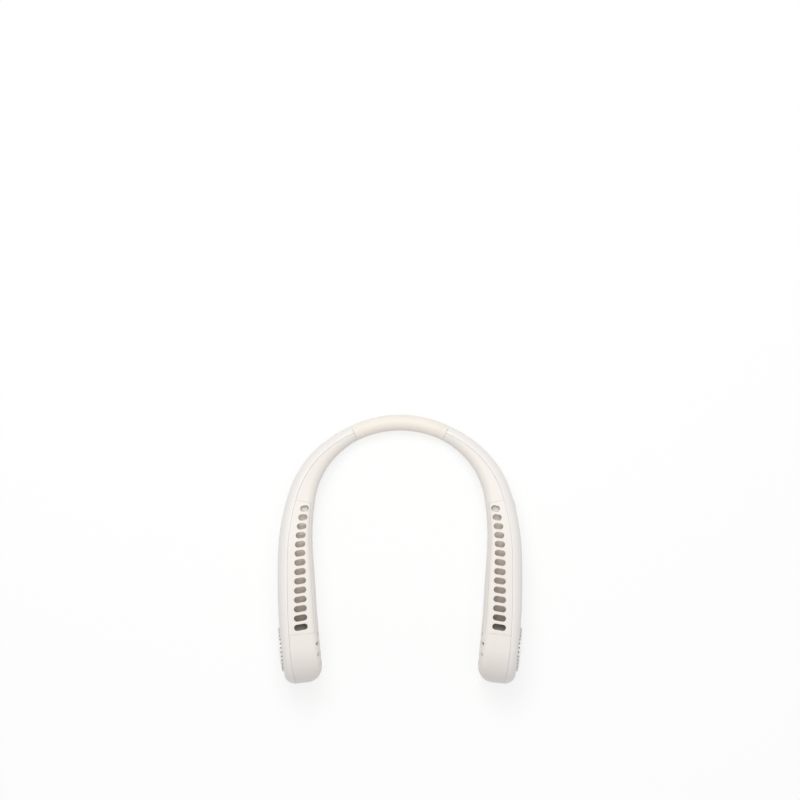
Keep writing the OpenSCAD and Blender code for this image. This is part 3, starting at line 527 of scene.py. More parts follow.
def half_section(arm, s, inset, side, seam_round, steps=40, flank_steps=12):
    """Upper half of a shell's section as [station, point] arrays of u and height above the middle.
    It starts at the seam and follows the level top and the rounded edge by its own length, then runs
    down the flank to the middle. Within seam_round of the seam it drops along a quarter circle."""
    out, inn, middle, depth, r_out, r_in, seam = [v[:, None] for v in arm.sections(s, inset)]
    gap = arm.size.seam_line / 2 if seam_round else LINING_GAP
    tiny = 1e-9
    lip = np.minimum(seam_round, depth / 2)
    near = EDGE_ROW[:-1] * lip
    centre_out, centre_in = out - r_out, r_in - inn
    u0 = seam + side * gap
    lean = np.arccos(np.clip((u0 - centre_out) / np.maximum(r_out, tiny), 0, 1))
    if side > 0:
        flat = np.maximum(centre_out - u0, 0)
        total = flat + r_out * lean
        run = np.concatenate([near, lip + (total - lip) * np.linspace(0, 1, steps)], axis=1)
        bend = lean - np.maximum(run - flat, 0) / np.maximum(r_out, tiny)
        u = np.where(run < flat, u0 + run, centre_out + r_out * np.cos(bend))
        z = np.where(run < flat, depth, depth - r_out + r_out * np.sin(bend))
        half, r = out, r_out
    else:
        first = r_out * (math.pi / 2 - lean)
        turn_u = np.minimum(u0, centre_out)
        flat = np.maximum(turn_u - centre_in, 0)
        total = first + flat + r_in * math.pi / 2
        run = np.concatenate([near, lip + (total - lip) * np.linspace(0, 1, steps)], axis=1)
        start_bend = lean + run / np.maximum(r_out, tiny)
        end_bend = math.pi / 2 + (run - first - flat) / np.maximum(r_in, tiny)
        u = np.where(run < first, centre_out + r_out * np.cos(start_bend), turn_u - (run - first))
        u = np.where(run > first + flat, centre_in + r_in * np.cos(end_bend), u)
        z = np.where(run < first, depth - r_out + r_out * np.sin(start_bend), depth)
        z = np.where(run > first + flat, depth - r_in + r_in * np.sin(end_bend), z)
        half, r = inn, r_in
    if seam_round:
        z = z - lip * sunk(1 - np.clip(run / np.maximum(lip, tiny), 0, 1), 1)
    down = np.linspace(1, 0, flank_steps + 1)[1:]
    u = np.concatenate([u, side * np.broadcast_to(half, (len(s), flank_steps))], axis=1)
    z = np.concatenate([z, (depth - r) * down], axis=1)
    return u, z, middle


def half_skin(arm, wall, side):
    """Points [station, point, xyz] of a whole shell skin, from the upper seam round to the lower one."""
    s, inset = stations(arm, wall)
    lip = 0.0 if wall else arm.size.seam_round
    u, z, middle = half_section(arm, s, inset, side, lip)
    u = np.concatenate([u, u[:, -2::-1]], axis=1)
    z = np.concatenate([z, -z[:, -2::-1]], axis=1)
    return arm.at(s[:, None], u, middle + z)


def shell_mesh(arm, side):
    """Points and faces of a hollow shell: skin, lining, both rims along the seam and the rim at the
    band. At the tip upper and lower halves meet."""
    skin, lining = half_skin(arm, 0, side), half_skin(arm, arm.size.wall, side)
    outer = numbered(skin)
    inner = outer + outer.size
    faces = np.concatenate([
        quads(outer[:-1], outer[1:]), quads(inner[:-1], inner[1:])[:, ::-1],
        quads(inner[:, 0], outer[:, 0]), quads(outer[:, -1], inner[:, -1]), quads(outer[0], inner[0])])
    return np.concatenate([skin, lining]).reshape(-1, 3), faces


# Mouth of a cut hole: [offset outwards from the hole's outline, height above the surface] as shares of
# the mouth's rounding. It leaves the surface at a slant.
MOUTH_SHARE = np.array([[0, -1], [0.067, -0.5], [0.25, -0.134], [0.75, 0.2], [0.75, 2.4]])


def hole_cutter(matrix, height, outward, depth, mouth, outline):
    """A closed solid that cuts a hole with a rounded mouth. outline(offset) gives its plan points, and
    height(x, y) the surface's height there, in the matrix's frame. The mouth follows the surface, and
    the lid is level, above all of it."""
    rows = np.concatenate([[[0, -depth]], MOUTH_SHARE * mouth])
    rings = []
    for offset, above in rows:
        plan = outline(offset)
        rings.append(np.column_stack([plan, height(*plan.T) + outward * above]))
    points = np.stack(rings)
    points[-1, :, 2] = outward * (outward * points[-1, :, 2]).max()
    points, faces = tube(points)
    return placed(points, matrix), faces


def prism(plan, low, high, matrix=Matrix()):
    """A closed prism over plan points between two heights."""
    points, faces = tube(np.stack([level(plan, low), level(plan, high)]))
    return placed(points, matrix), faces


def intake_cutters(arm, size):
    """Ring sectors between spokes, and the screw's hole, through the outer wall at the fan."""
    span = arm.size.half_w - arm.size.wall - MM, arm.size.half_w + MM, arm.fan_matrix()
    keep_far, keep_near = (math.asin(size.spoke_w / 2 / r) for r in (size.intake_r, size.hub_r))
    cutters = []
    for k in range(SPOKES):
        first, last = 2 * math.pi * (k + 0.25) / SPOKES, 2 * math.pi * (k + 1.25) / SPOKES
        far = np.linspace(first + keep_far, last - keep_far, ARC_STEPS[0])
        near = np.linspace(last - keep_near, first + keep_near, ARC_STEPS[1])
        cutters.append(prism(np.concatenate([arc(size.intake_r, far), arc(size.hub_r, near)]), *span))
    return cutters + [prism(arc(size.screw_hole_r, whole_turn(24)), *span)]


def neck_cutters(arm, size):
    """The slanted slots on the side of the neck, round the fan's axis and over the rounded edges."""
    matrix = arm.fan_matrix()
    length = size.slot_outer_r - size.slot_inner_r
    radius = (size.slot_outer_r + size.slot_inner_r) / 2

    def height(x, y):
        return arm.flank(arm.fan_at + x, arm.size.half_d - y, -1)

    def slot(angle):
        """The outline of the slot at an angle, for hole_cutter."""
        def outline(offset):
            plan = turned(stadium(length + 2 * offset, size.slot_w + 2 * offset), size.swirl)
            return turned(plan + [radius, 0], angle)
        return outline

    return [hole_cutter(matrix, height, -1, WALL_CUT, size.slot_lip, slot(angle))
            for angle in whole_turn(size.slots) + math.pi / size.slots]


class Controls:
    """Places of the socket, the light and the button, in line with the seam beside the socket."""

    def __init__(self, arm, size):
        ends = size.socket_at + np.array([-0.5, 0.5]) * size.socket_w
        run = np.diff(arm.at(ends, arm.seam_u(ends), 0), axis=0)[0]
        place = arm.at(size.socket_at, arm.seam_u(size.socket_at), arm.underside(size.socket_at))
        turn = Matrix.Rotation(math.atan2(run[1], run[0]), 4, "Z")
        self.board = Matrix.Translation(place.tolist()) @ turn
        self.light = self.board @ Matrix.Translation((-size.led_back, 0, 0))
        self.button = (self.board @ Matrix.Translation((-size.button_back, 0, size.button_z))
                       @ Matrix.Rotation(-math.pi / 2, 4, "X"))
        self.button_at = size.socket_at - size.button_back
        self.centre, self.axis = np.array(self.button.translation), np.array(self.button.to_3x3())[:, 2]


def control_cutters(arm, size):
    """Holes of the charging socket, the light and the power button."""
    controls = Controls(arm, size)

    def under(x, y):
        return np.zeros_like(x)

    def side(x, y):
        """Height of the outer wall along the button's axis."""
        s, z = controls.button_at + x, controls.centre[2] - y
        return (arm.at(s, arm.flank(s, z, 1), z) - controls.centre) @ controls.axis

    def socket(offset):
        grow = 2 * (size.socket_fit + offset)
        return stadium(size.socket_w + grow, size.socket_t + grow, SOCKET_STEPS)

    def light(offset):
        return disc(size.led_r + offset)

    def button(offset):
        return disc(size.button_r + size.button_fit + offset)

    return [hole_cutter(controls.board, under, -1, FLOOR_CUT, size.socket_lip, socket),
            hole_cutter(controls.light, under, -1, FLOOR_CUT, size.led_lip, light),
            hole_cutter(controls.button, side, 1, WALL_CUT, size.button_lip, button)]


class VentStrip:
    """Places of the vents, and the strip's edges."""

    def __init__(self, arm, size):
        self.arm, self.size = arm, size
        self.at = arm.fan_at - size.to_fan - np.arange(size.count)[::-1] * size.pitch
        self.start, self.end = self.at[0] - size.margin, self.at[-1] + size.margin
        self.lengths = np.linspace(size.first_len, size.last_len, size.count)
        seam, share = arm.seam_u(self.at), np.linspace(size.first_share, size.last_share, size.count)
        self.middle = seam - (seam + arm.half_w(self.at)) * share

    def inner(self, s):
        """Distance u of the strip's edge on the side of the neck."""
        return self.arm.size.mould_r + self.arm.size.wall - self.arm.half_w(s)

    def outer(self, s):
        """Distance u of its edge along the seam."""
        return self.arm.seam_u(s) - self.arm.size.seam_line / 2

    def cutter(self):
        """The notch that the strip fits, with a fit round it: a prism over its plan."""
        fit = self.size.fit
        s = np.linspace(self.start - fit, self.end + fit, 60)
        outer = self.arm.at(s, self.arm.seam_u(s) + MM, 0)[:, :2]
        inner = self.arm.at(s[::-1], self.inner(s[::-1]) - fit, 0)[:, :2]
        floor = float(self.arm.underside(self.start) + self.arm.half_d(self.start))
        above = 2 * self.arm.size.half_d + self.arm.size.arch_h + MM
        return prism(np.concatenate([outer, inner]), floor, above)


def vent_strip_mesh(arm, size):
    """Each vent has a cell of the strip: rings of points run from the cell's border to the vent's
    outline, over a rounded lip, down its wall and back under the strip to the border. Cells share
    their borders, and a rim closes the strip all round."""
    strip = VentStrip(arm, size)
    across, along = 26, 22
    edges = (strip.at[:-1] + strip.at[1:]) / 2
    low, high = np.append(strip.start, edges)[:, None], np.append(edges, strip.end)[:, None]
    share_a, share_b = np.linspace(0, 1, across + 1), np.linspace(0, 1, along + 1)
    # The border runs outwards at the band's end, down the outer edge, inwards, and back up the inner one
    s_share = np.concatenate([0 * share_a[:-1], share_b[:-1], 1 + 0 * share_a[:-1], share_b[:0:-1]])
    u_share = np.concatenate([share_a[:-1], 1 + 0 * share_b[:-1], share_a[:0:-1], 0 * share_b[:-1]])
    border_s = low + (high - low) * s_share
    border_u = strip.inner(border_s) + (strip.outer(border_s) - strip.inner(border_s)) * u_share

    # The vent's own frame: its middle, and its long axis at the tilt
    lean = (math.pi / 2 - arm.place(strip.at)[2] + size.tilt)[:, None]
    middle_s, middle_u = strip.at[:, None], strip.middle[:, None]
    # Directions from the vent's middle to the border, in the vent's frame of long and short axis
    ds, du, cos, sin = border_s - middle_s, border_u - middle_u, np.cos(lean), np.sin(lean)
    long_ax, short_ax = du * cos + ds * sin, ds * cos - du * sin
    half = (strip.lengths[:, None] - size.width) / 2
    r = size.width / 2
    # The ray from the middle to a border point meets a straight side, or else the round end's circle:
    # the larger root of |t d - end| = r
    flat = r / np.maximum(np.abs(short_ax), 1e-9)
    end = half * np.sign(long_ax)
    along_end, square = long_ax * end, long_ax ** 2 + short_ax ** 2
    curve = (along_end + np.sqrt(np.clip(along_end ** 2 - square * (half ** 2 - r ** 2), 0, None))) / square
    straight = np.abs(flat * long_ax) <= half
    hit = np.where(straight, flat, curve)
    core = np.where(straight, hit * long_ax, end)
    nx, ny = (hit * long_ax - core) / r, hit * short_ax / r

    def ring(offset, share):
        """Share 0 is the outline grown by offset, and share 1 the border."""
        x, y = core + nx * (r + offset), ny * (r + offset)
        x, y = x + (long_ax - x) * share, y + (short_ax - y) * share
        return middle_s + x * sin + y * cos, middle_u + x * cos - y * sin

    # Rings as [offset, share, drop]: over the top, round the lip, and back under the strip
    rings = [(size.lip, share, 0) for share in (1, 0.66, 0.36, 0.14)]
    rings += [(size.lip * (1 - math.sin(turn)), 0, size.lip * (1 - math.cos(turn)))
              for turn in np.linspace(0, math.pi / 2, 6)]
    rings += [(0, share, arm.size.wall) for share in (0, 0.5, 1)]
    rows = [(*ring(offset, share), drop) for offset, share, drop in rings]
    points = np.stack([arm.at(s, u, arm.top(s, u) - drop) for s, u, drop in rows], axis=1)
    number = numbered(points, closed=True)
    faces = [quads(number[:, :-1], number[:, 1:])]
    # Rims: the outer and inner sides of each cell, and both ends of the strip
    over, under = number[:, 0], number[:, -1]
    outer_side, inner_side = slice(across, across + along + 1), slice(2 * across + along, None)
    last = slice(across + along, 2 * across + along + 1)
    rims = (slice(None), outer_side), (slice(None), inner_side), (0, slice(across + 1)), (-1, last)
    faces += [quads(over[rim], under[rim]) for rim in rims]
    return points.reshape(-1, 3), np.concatenate(faces)


def duct_ramp(arm, size):
    """The duct's floor rises to its closed end: from the third vent back to the band's end its height
    follows a smooth step, from the floor to just under the strip. Four-point sections along the arm."""
    strip = VentStrip(arm, size)
    s = np.linspace(strip.start + size.duct_t + size.duct_room, strip.at[2], 24)
    way = (strip.at[2] - s) / (strip.at[2] - s[0])
    ceiling = arm.underside(s) + 2 * arm.half_d(s)
    floor = ceiling - np.linspace(*size.duct_depth, len(s))
    top = floor + (ceiling - size.ramp_depth - floor) * way ** 2 * (3 - 2 * way)
    # It stays clear of the duct's side walls, and its underside lies inside the duct's floor
    outer = strip.outer(s) - 1.5 * size.duct_t - size.duct_room
    inner = 2 * size.duct_t + arm.size.wall + size.duct_room - arm.half_w(s)
    low = floor - size.duct_t / 2
    corners = (outer, top), (inner, top), (inner, low), (outer, low)
    return tube(np.stack([arm.at(s, u, z) for u, z in corners], axis=1))


# Band

def band_tube(arm, radius, shift, end, sleeve=None):
    """A round tube along the crown's arc from its middle to end, its own middle moved outwards by
    shift. A sleeve has a bore, a rounded end, and fine rings sunk into it as squared cosines."""
    s = np.linspace(0, end, max(8, int(end / BAND_STEP)))
    if sleeve:
        rings = end - sleeve.ring_pitch * np.array([1, 2, 3])
        across = sleeve.ring_w / 2
        fine = (rings[:, None] + np.linspace(-across, across, 13)).ravel()
        s = np.unique(np.round(np.concatenate([s, fine, end - EDGE_ROW * sleeve.lip]), 9))
        way = np.clip((s[:, None] - rings) / across, -1, 1)
        r = radius - sleeve.ring_depth * (np.cos(way * math.pi / 2) ** 2).sum(axis=1)
        r = r - sleeve.lip * sunk(1 - np.clip((end - s) / sleeve.lip, 0, 1), 1)
        s, r = np.concatenate([s, s[::-1]]), np.concatenate([r, np.full(len(s), sleeve.bore_r)])
    else:
        r = np.full(len(s), radius)
    u, z = np.moveaxis(arc(r[:, None, None], whole_turn(BAND_SIDES)), -1, 0)
    return tube(arm.at(s[:, None], shift + u, arm.size.band_r + z), looped=bool(sleeve))


# Materials

def plug(tree, socket, value):
    """Links a term to a socket, or sets the socket's constant."""
    if isinstance(value, Term):
        tree.links.new(value.socket, socket)
    else:
        socket.default_value = value


class Term:
    """A socket whose value can be used in sums and products like a number."""

    def __init__(self, tree, socket):
        self.tree, self.socket = tree, socket

    def _math(self, operation, first, second):
        node = self.tree.nodes.new("ShaderNodeMath")
        node.operation = operation
        plug(self.tree, node.inputs[0], first)
        plug(self.tree, node.inputs[1], second)
        return Term(self.tree, node.outputs[0])

    def __add__(self, other):
        return self._math("ADD", self, other)

    __radd__ = __add__

    def __mul__(self, other):
        return self._math("MULTIPLY", self, other)

    def __sub__(self, other):
        return self._math("SUBTRACT", self, other)

    def __gt__(self, other):
        return self._math("GREATER_THAN", self, other)

    def __pow__(self, other):
        return self._math("POWER", self, other)

    def __abs__(self):
        return self._math("ABSOLUTE", self, 0)


class NodeTree:
    """A cleared node tree, and one way to add a node to it."""

    def __init__(self, owner):
        owner.use_nodes = True
        self.tree = owner.node_tree
        self.tree.nodes.clear()

    def node(self, kind, settings=None, output=0, **sockets):
        """Makes a node, sets its settings, then the values or links of its sockets."""
        node = self.tree.nodes.new(kind)
        for label, value in (settings or {}).items():
            if label == "stops":
                ramp = node.color_ramp.elements
                while len(ramp) < len(value):
                    ramp.new(0.5)
                for stop, (at, colour) in zip(ramp, value):
                    stop.position, stop.color = at, (*colour, 1)
            else:
                setattr(node, label, value)
        for label, value in sockets.items():
            label = int(label[1:]) if label[0] == "_" else label.replace("_", " ")
            plug(self.tree, node.inputs[label], value)
        return Term(self.tree, node.outputs[output]) if node.outputs else None

    def seen(self):
        """1 where the camera, a gloss or a clear piece looks, and 0 for the light on the object."""
        rays = ("Is Camera Ray", "Is Glossy Ray", "Is Transmission Ray")
        camera, gloss, clear = (self.node("ShaderNodeLightPath", output=ray) for ray in rays)
        return camera + gloss + clear


class Finish(NodeTree):
    """A material with one Principled shader, and short ways to the nodes that feed it."""

    def __init__(self, name, **constants):
        self.material = bpy.data.materials.new(name)
        super().__init__(self.material)
        surface = self.node("ShaderNodeBsdfPrincipled", **constants)
        self.shader = surface.socket.node
        self.node("ShaderNodeOutputMaterial", Surface=surface)
        self.place = self.node("ShaderNodeTexCoord", output="Object")

    def noise(self, size, detail=2.0, roughness=0.5):
        """Noise from 0 to 1 whose grains are about size metres across."""
        return self.node("ShaderNodeTexNoise", Vector=self.place, Scale=1 / size, Detail=detail,
                         Roughness=roughness)

    def axis(self, which):
        """One of the object coordinates, in metres."""
        return self.node("ShaderNodeSeparateXYZ", output="XYZ".index(which), Vector=self.place)

    def blend(self, share, first, second):
        """A colour between two by a share."""
        def full(value):
            return value if isinstance(value, Term) else (*value, 1)
        return self.node("ShaderNodeMix", {"data_type": "RGBA"}, output=2, _0=share, _6=full(first),
                         _7=full(second))

    def tones(self, share, colour, low, high=1.0):
        """A colour between two of its own tones by a share."""
        return self.blend(share, shade(colour, low), shade(colour, high))

    def made(self, colour, roughness, height=None, depth=0.0, strength=1.0):
        """The material, with a colour, a roughness and the bump of a height from 0 to 1 that stands for
        depth metres."""
        sockets = {"Base Color": colour, "Roughness": roughness}
        if height is not None:
            sockets["Normal"] = self.node("ShaderNodeBump", Height=height, Distance=depth,
                                          Strength=strength)
        for label, value in sockets.items():
            plug(self.tree, self.shader.inputs[label], value)
        return self.material


def shade(colour, factor):
    """A lighter or darker tone of a colour."""
    return tuple(min(1.0, channel * factor) for channel in colour)


def moulded_plastic(name, colour, roughness, grain=0.35 * MM, depth=0.004 * MM, coat=0.0):
    """Moulded plastic: a faint cloudiness, an eroded-mould grain and slightly uneven gloss."""
    finish = Finish(name, Coat_Weight=coat, Coat_Roughness=0.12)
    cloud, speck = finish.noise(28 * MM, 3), finish.noise(grain, 2, 0.6)
    base = finish.tones(cloud, colour, 0.985, 1.012)
    return finish.made(finish.blend((speck > 0.62) * 0.10, base, shade(colour, 0.93)),
                       roughness - 0.04 + cloud * 0.05 + speck * 0.06, speck, depth)


# Painted light and shade on the duct's plastic along the arms: [Y, share of the base colour]. It is
# painted lighter where the duct starts, darkened by painted shade in a band at its deep end, and painted
# lighter again on the fan's housing.
DUCT_PAINTED_LIGHT_AND_SHADE = ((-0.0580, (1.16, 1.19, 1.22)), (-0.0565, (0.66, 0.65, 0.65)), (-0.0495, (0.66, 0.65, 0.65)),
              (-0.0470, (0.95, 0.95, 0.95)), (0.0, (1.05, 1.06, 1.07)), (0.0260, (1.16, 1.24, 1.30)))


def duct_painted_light_and_shade(name, colour):
    """The plastic inside the arms, with painted light and shade along them in Y and random darker clouds.
    """
    finish = Finish(name)
    first, last = DUCT_PAINTED_LIGHT_AND_SHADE[0][0], DUCT_PAINTED_LIGHT_AND_SHADE[-1][0]
    way = finish.node("ShaderNodeMapRange", Value=finish.axis("Y"), From_Min=first, From_Max=last)
    stops = [((at - first) / (last - first), [min(0.96, c * f) for c, f in zip(colour, share)])
             for at, share in DUCT_PAINTED_LIGHT_AND_SHADE]
    # Painted light and shade: the base colour scaled along Y, lighter near the band and on the fan's
    # housing, darker in a band at the duct's deep end
    tone = finish.node("ShaderNodeValToRGB", {"stops": stops}, Fac=way)
    cloud, speck = finish.noise(9 * MM, 3), finish.noise(0.5 * MM, 2, 0.6)
    return finish.made(finish.blend(cloud * 0.14, tone, shade(colour, 0.7)), 0.48 + speck * 0.08, speck,
                       0.01 * MM)


def spun_plastic(name, colour, roughness, matrix, pitch=0.4 * MM, depth=0.012 * MM):
    """Gloss plastic with fine rings about the fan's axis. The distance from the axis is the length of
    what is left across it, and X is made positive, so both fans get their rings."""
    finish = Finish(name, Coat_Weight=0.5, Coat_Roughness=0.14)
    along, middle = matrix.to_3x3().col[0], matrix.translation
    across = (abs(finish.axis("X")) - middle.x) * along.x + (finish.axis("Y") - middle.y) * along.y
    height = finish.axis("Z") - middle.z
    radius = (across * across + height * height) ** 0.5
    rings = finish.node("ShaderNodeMath", {"operation": "SINE"}, _0=radius * (2 * math.pi / pitch))
    cloud = finish.noise(18 * MM, 3)
    return finish.made(finish.tones(cloud, colour, 0.985, 1.01), roughness + cloud * 0.03 + rings * 0.02,
                       rings * 0.5 + 0.5, depth)


def silicone(name, colour):
    """Soft silicone: matt and a little cloudy, with lint-fine specks."""
    finish = Finish(name, Coat_Weight=0.0)
    cloud, speck = finish.noise(12 * MM, 3), finish.noise(0.5 * MM, 3, 0.6)
    base = finish.tones(cloud, colour, 0.98, 1.01)
    return finish.made(finish.blend((speck > 0.68) * 0.12, base, shade(colour, 0.9)),
                       0.46 + cloud * 0.06 + speck * 0.05, speck, 0.006 * MM)


def metal(name, colour, roughness, uneven=0.0):
    """Bare metal with a fine grain, which also makes its gloss uneven, and a slight tarnish."""
    finish = Finish(name, Metallic=1.0)
    tarnish, grain = finish.noise(3 * MM, 3), finish.noise(0.15 * MM, 2)
    return finish.made(finish.tones(tarnish, colour, 0.86), roughness + tarnish * 0.08 + grain * uneven,
                       grain, 0.002 * MM)


def circuit_board(name, colour):
    """Solder resist over copper tracks: wavy bands of a brighter green."""
    finish = Finish(name, Coat_Weight=0.4)
    line = {"wave_type": "BANDS", "bands_direction": "Z", "wave_profile": "SIN"}
    tracks = finish.node("ShaderNodeTexWave", line, output=1, Vector=finish.place, Scale=160.0,
                         Distortion=2.0, Detail=0.0)
    return finish.made(finish.tones(tracks > 0.7, colour, 1.0, 1.6),
                       0.34 + finish.noise(0.4 * MM) * 0.1, tracks, 0.03 * MM, 0.5)


def windings(name, colour):
    """Enamelled wire laid side by side."""
    finish = Finish(name, Metallic=1.0)
    line = {"wave_type": "BANDS", "bands_direction": "Z"}
    turns = finish.node("ShaderNodeTexWave", line, output=1, Vector=finish.place, Scale=900.0)
    return finish.made(finish.tones(turns, colour, 0.5), 0.3 + turns * 0.1, turns, 0.1 * MM)


def foam(name, colour):
    """Open-cell foam."""
    finish = Finish(name)
    cells = finish.node("ShaderNodeTexVoronoi", output=0, Vector=finish.place, Scale=1800.0)
    return finish.made(finish.tones(cells, colour, 0.4), 0.92, cells, 0.3 * MM)


def clear_plastic(name, colour):
    """Clear plastic with a faint milkiness."""
    finish = Finish(name, Transmission_Weight=0.6, IOR=1.49)
    cloud = finish.noise(1.2 * MM)
    return finish.made(finish.tones(cloud, colour, 0.92), 0.12 + cloud * 0.12)


FINISHES = {}  # filled by the first call of finishes


def finishes():
    """Every finish by the name of its slot, made once. spun_white is the caps' own form of gloss_white."""
    if FINISHES:
        return FINISHES
    colours = bpy.context.scene.neck_fan_colours
    fan = Arm(bpy.context.scene.neck_fan_arm).fan_matrix()
    FINISHES.update({
        "outer_white": moulded_plastic("outer_white", colours.outer, 0.36),
        "inner_white": moulded_plastic("inner_white", colours.inner, 0.42),
        "sleeve": silicone("sleeve_silicone", colours.sleeve),
        "gloss_white": moulded_plastic("gloss_white", colours.cap, 0.16, 0.5 * MM, 0.001 * MM, 0.6),
        "spun_white": spun_plastic("spun_white", colours.cap, 0.22, fan),
        "duct": duct_painted_light_and_shade("duct_painted_light_and_shade", colours.duct),
        "impeller": moulded_plastic("impeller_plastic", (0.80, 0.78, 0.75), 0.4),
        "screw_steel": metal("screw_steel", (0.62, 0.63, 0.65), 0.26),
        "rotor_steel": metal("rotor_steel", (0.6, 0.61, 0.64), 0.3, 0.1),
        "shaft_steel": metal("shaft_steel", (0.74, 0.75, 0.77), 0.16),
        "magnet": metal("magnet_ferrite", (0.12, 0.12, 0.13), 0.55),
        "bronze": metal("sintered_bronze", (0.6, 0.43, 0.2), 0.5, 0.1),
        "copper": windings("copper_windings", (0.72, 0.32, 0.13)),
        "board": circuit_board("circuit_board", (0.02, 0.13, 0.06)),
        "cell": moulded_plastic("cell_sleeve", (0.06, 0.2, 0.34), 0.22, 1.2 * MM, 0.01 * MM, 0.5),
        "foam": foam("saddle_foam", (0.09, 0.09, 0.095)),
        "lamp": clear_plastic("lamp_resin", (0.93, 0.9, 0.7)),
        "clear": clear_plastic("light_pipe_acrylic", (0.9, 0.93, 0.95)),
        "core": moulded_plastic("core_rubber", (0.04, 0.04, 0.042), 0.6, 0.6 * MM, 0.01 * MM),
        "cable": moulded_plastic("black_plastic", (0.018, 0.018, 0.02), 0.42),
    })
    return FINISHES


# Operators

class NeckFanOperator:
    """What all operators here share."""
    bl_options = {"REGISTER", "UNDO"}

    @property
    def arm(self):
        return Arm(bpy.context.scene.neck_fan_arm)


class NECKFAN_OT_stage(NeckFanOperator, bpy.types.Operator):
    """Lay a pale floor, hang soft lights and set the camera above the fan"""
    bl_idname = "neckfan.stage"
    bl_label = "Stage"

    def execute(self, context):
        self.floor()
        self.lights()
        self.camera()
        context.scene.view_settings.view_transform = "Standard"
        return {"FINISHED"}

    def floor(self):
        """A level sheet far wider than the fan. To the camera it glows a little, so that it reads as
        white paper, and it keeps the fan's shadow."""
        reach, steps = 3.0, 13
        line = np.linspace(-reach, reach, steps)
        points = np.stack(np.broadcast_arrays(line, line[:, None], -FLOOR_GAP), axis=-1)
        number = numbered(points)
        sheet = mesh_object("floor", points, quads(number[:-1], number[1:]))
        material = bpy.data.materials.new("pale_floor")
        tree = NodeTree(material)
        colour = bpy.context.scene.neck_fan_colours.floor
        plain = tree.node("ShaderNodeBsdfDiffuse", Color=(*colour, 1))
        paper = tree.node("ShaderNodeBsdfDiffuse", Color=(*shade(colour, 0.36), 1))
        glow = tree.node("ShaderNodeEmission", Color=(1, 1, 1, 1), Strength=0.72)
        white = tree.node("ShaderNodeAddShader", _0=paper, _1=glow)
        mixed = tree.node("ShaderNodeMixShader", _0=tree.seen(), _1=plain, _2=white)
        tree.node("ShaderNodeOutputMaterial", Surface=mixed)
        sheet.data.materials.append(material)

    def lights(self):
        """An even white sky, a soft lamp beyond the band and a wider, weaker one above the fan."""
        world = bpy.data.worlds.new("pale_room")
        bpy.context.scene.world = world
        tree = NodeTree(world)
        sky = tree.node("ShaderNodeBackground", Color=(1, 1, 1, 1), Strength=0.55 + tree.seen() * 0.45)
        tree.node("ShaderNodeOutputWorld", Surface=sky)
        for name, place, target, size, power in (
                ("key_lamp", (-0.15, 0.75, 1.2), (0, 0.02, 0.02), 0.7, 7.2),
                ("top_lamp", (0.1, 0.0, 1.6), (0, 0, 0.02), 1.0, 3.5)):
            lamp = bpy.data.lights.new(name, "AREA")
            lamp.size, lamp.energy, lamp.color = size, power, (1, 0.995, 0.985)
            holder = bpy.data.objects.new(name, lamp)
            holder.location = place
            aim = Vector(target) - Vector(place)
            holder.rotation_euler = aim.to_track_quat("-Z", "Y").to_euler()
            bpy.context.scene.collection.objects.link(holder)

    def camera(self):
        """Straight above the fan, 2.4 m up, turned a little towards the band, so that the fan stands in
        the lower part of the picture as it does in the photograph."""
        distance, across, rows = 2.4, 0.620, 800
        fan_row = 548.4  # where the fan's middle stands in the photograph
        camera = bpy.data.cameras.new("camera")
        camera.lens = camera.sensor_width * distance / across
        holder = bpy.data.objects.new("camera", camera)
        holder.location = (0, 0, distance + self.arm.size.half_d)
        holder.rotation_euler.x = math.atan2((fan_row - rows / 2) * across / rows, distance)
        bpy.context.scene.collection.objects.link(holder)
        bpy.context.scene.camera = holder


class NECKFAN_OT_shells(NeckFanOperator, bpy.types.Operator):
    """Build both shells of each arm, with the intakes, the notch for the vents and the controls' holes"""
    bl_idname = "neckfan.shells"
    bl_label = "Shells"

    def execute(self, context):
        arm, fan = self.arm, context.scene.neck_fan_fan
        strip = VentStrip(arm, context.scene.neck_fan_vents)
        control = control_cutters(arm, fan)
        for name, side, cutters, slot in (
                ("outer_shell", 1, intake_cutters(arm, fan), "outer_white"),
                ("inner_shell", -1, [strip.cutter()] + neck_cutters(arm, fan), "inner_white")):
            points, faces = shell_mesh(arm, side)
            for word, sign in SIDES.items():
                piece = mesh_object(f"{name}_skin_{word}", mirrored(points, sign), faces)
                cuts = cutters + (control if sign > 0 else [])
                carve(piece, [(mirrored(cut, sign), shape) for cut, shape in cuts])
                flat_normals(piece)
                dress(piece, f"{word}_arm", slot, f"{name}_{word}")
        return {"FINISHED"}


class NECKFAN_OT_vents(NeckFanOperator, bpy.types.Operator):
    """Build the strip of vents on top of each arm, and the ramp at the start of its duct"""
    bl_idname = "neckfan.vents"
    bl_label = "Vents"

    def execute(self, context):
        points, faces = vent_strip_mesh(self.arm, context.scene.neck_fan_vents)
        ramp, ramp_faces = duct_ramp(self.arm, context.scene.neck_fan_vents)
        for word, sign in SIDES.items():
            piece = mesh_object(f"duct_ramp_{word}", mirrored(ramp, sign), ramp_faces)
            dress(piece, f"{word}_arm", "duct")
            piece = mesh_object(f"vent_strip_skin_{word}", mirrored(points, sign), faces, sharp=35)
            dress(piece, f"{word}_arm", "inner_white", f"vent_strip_{word}")
        return {"FINISHED"}


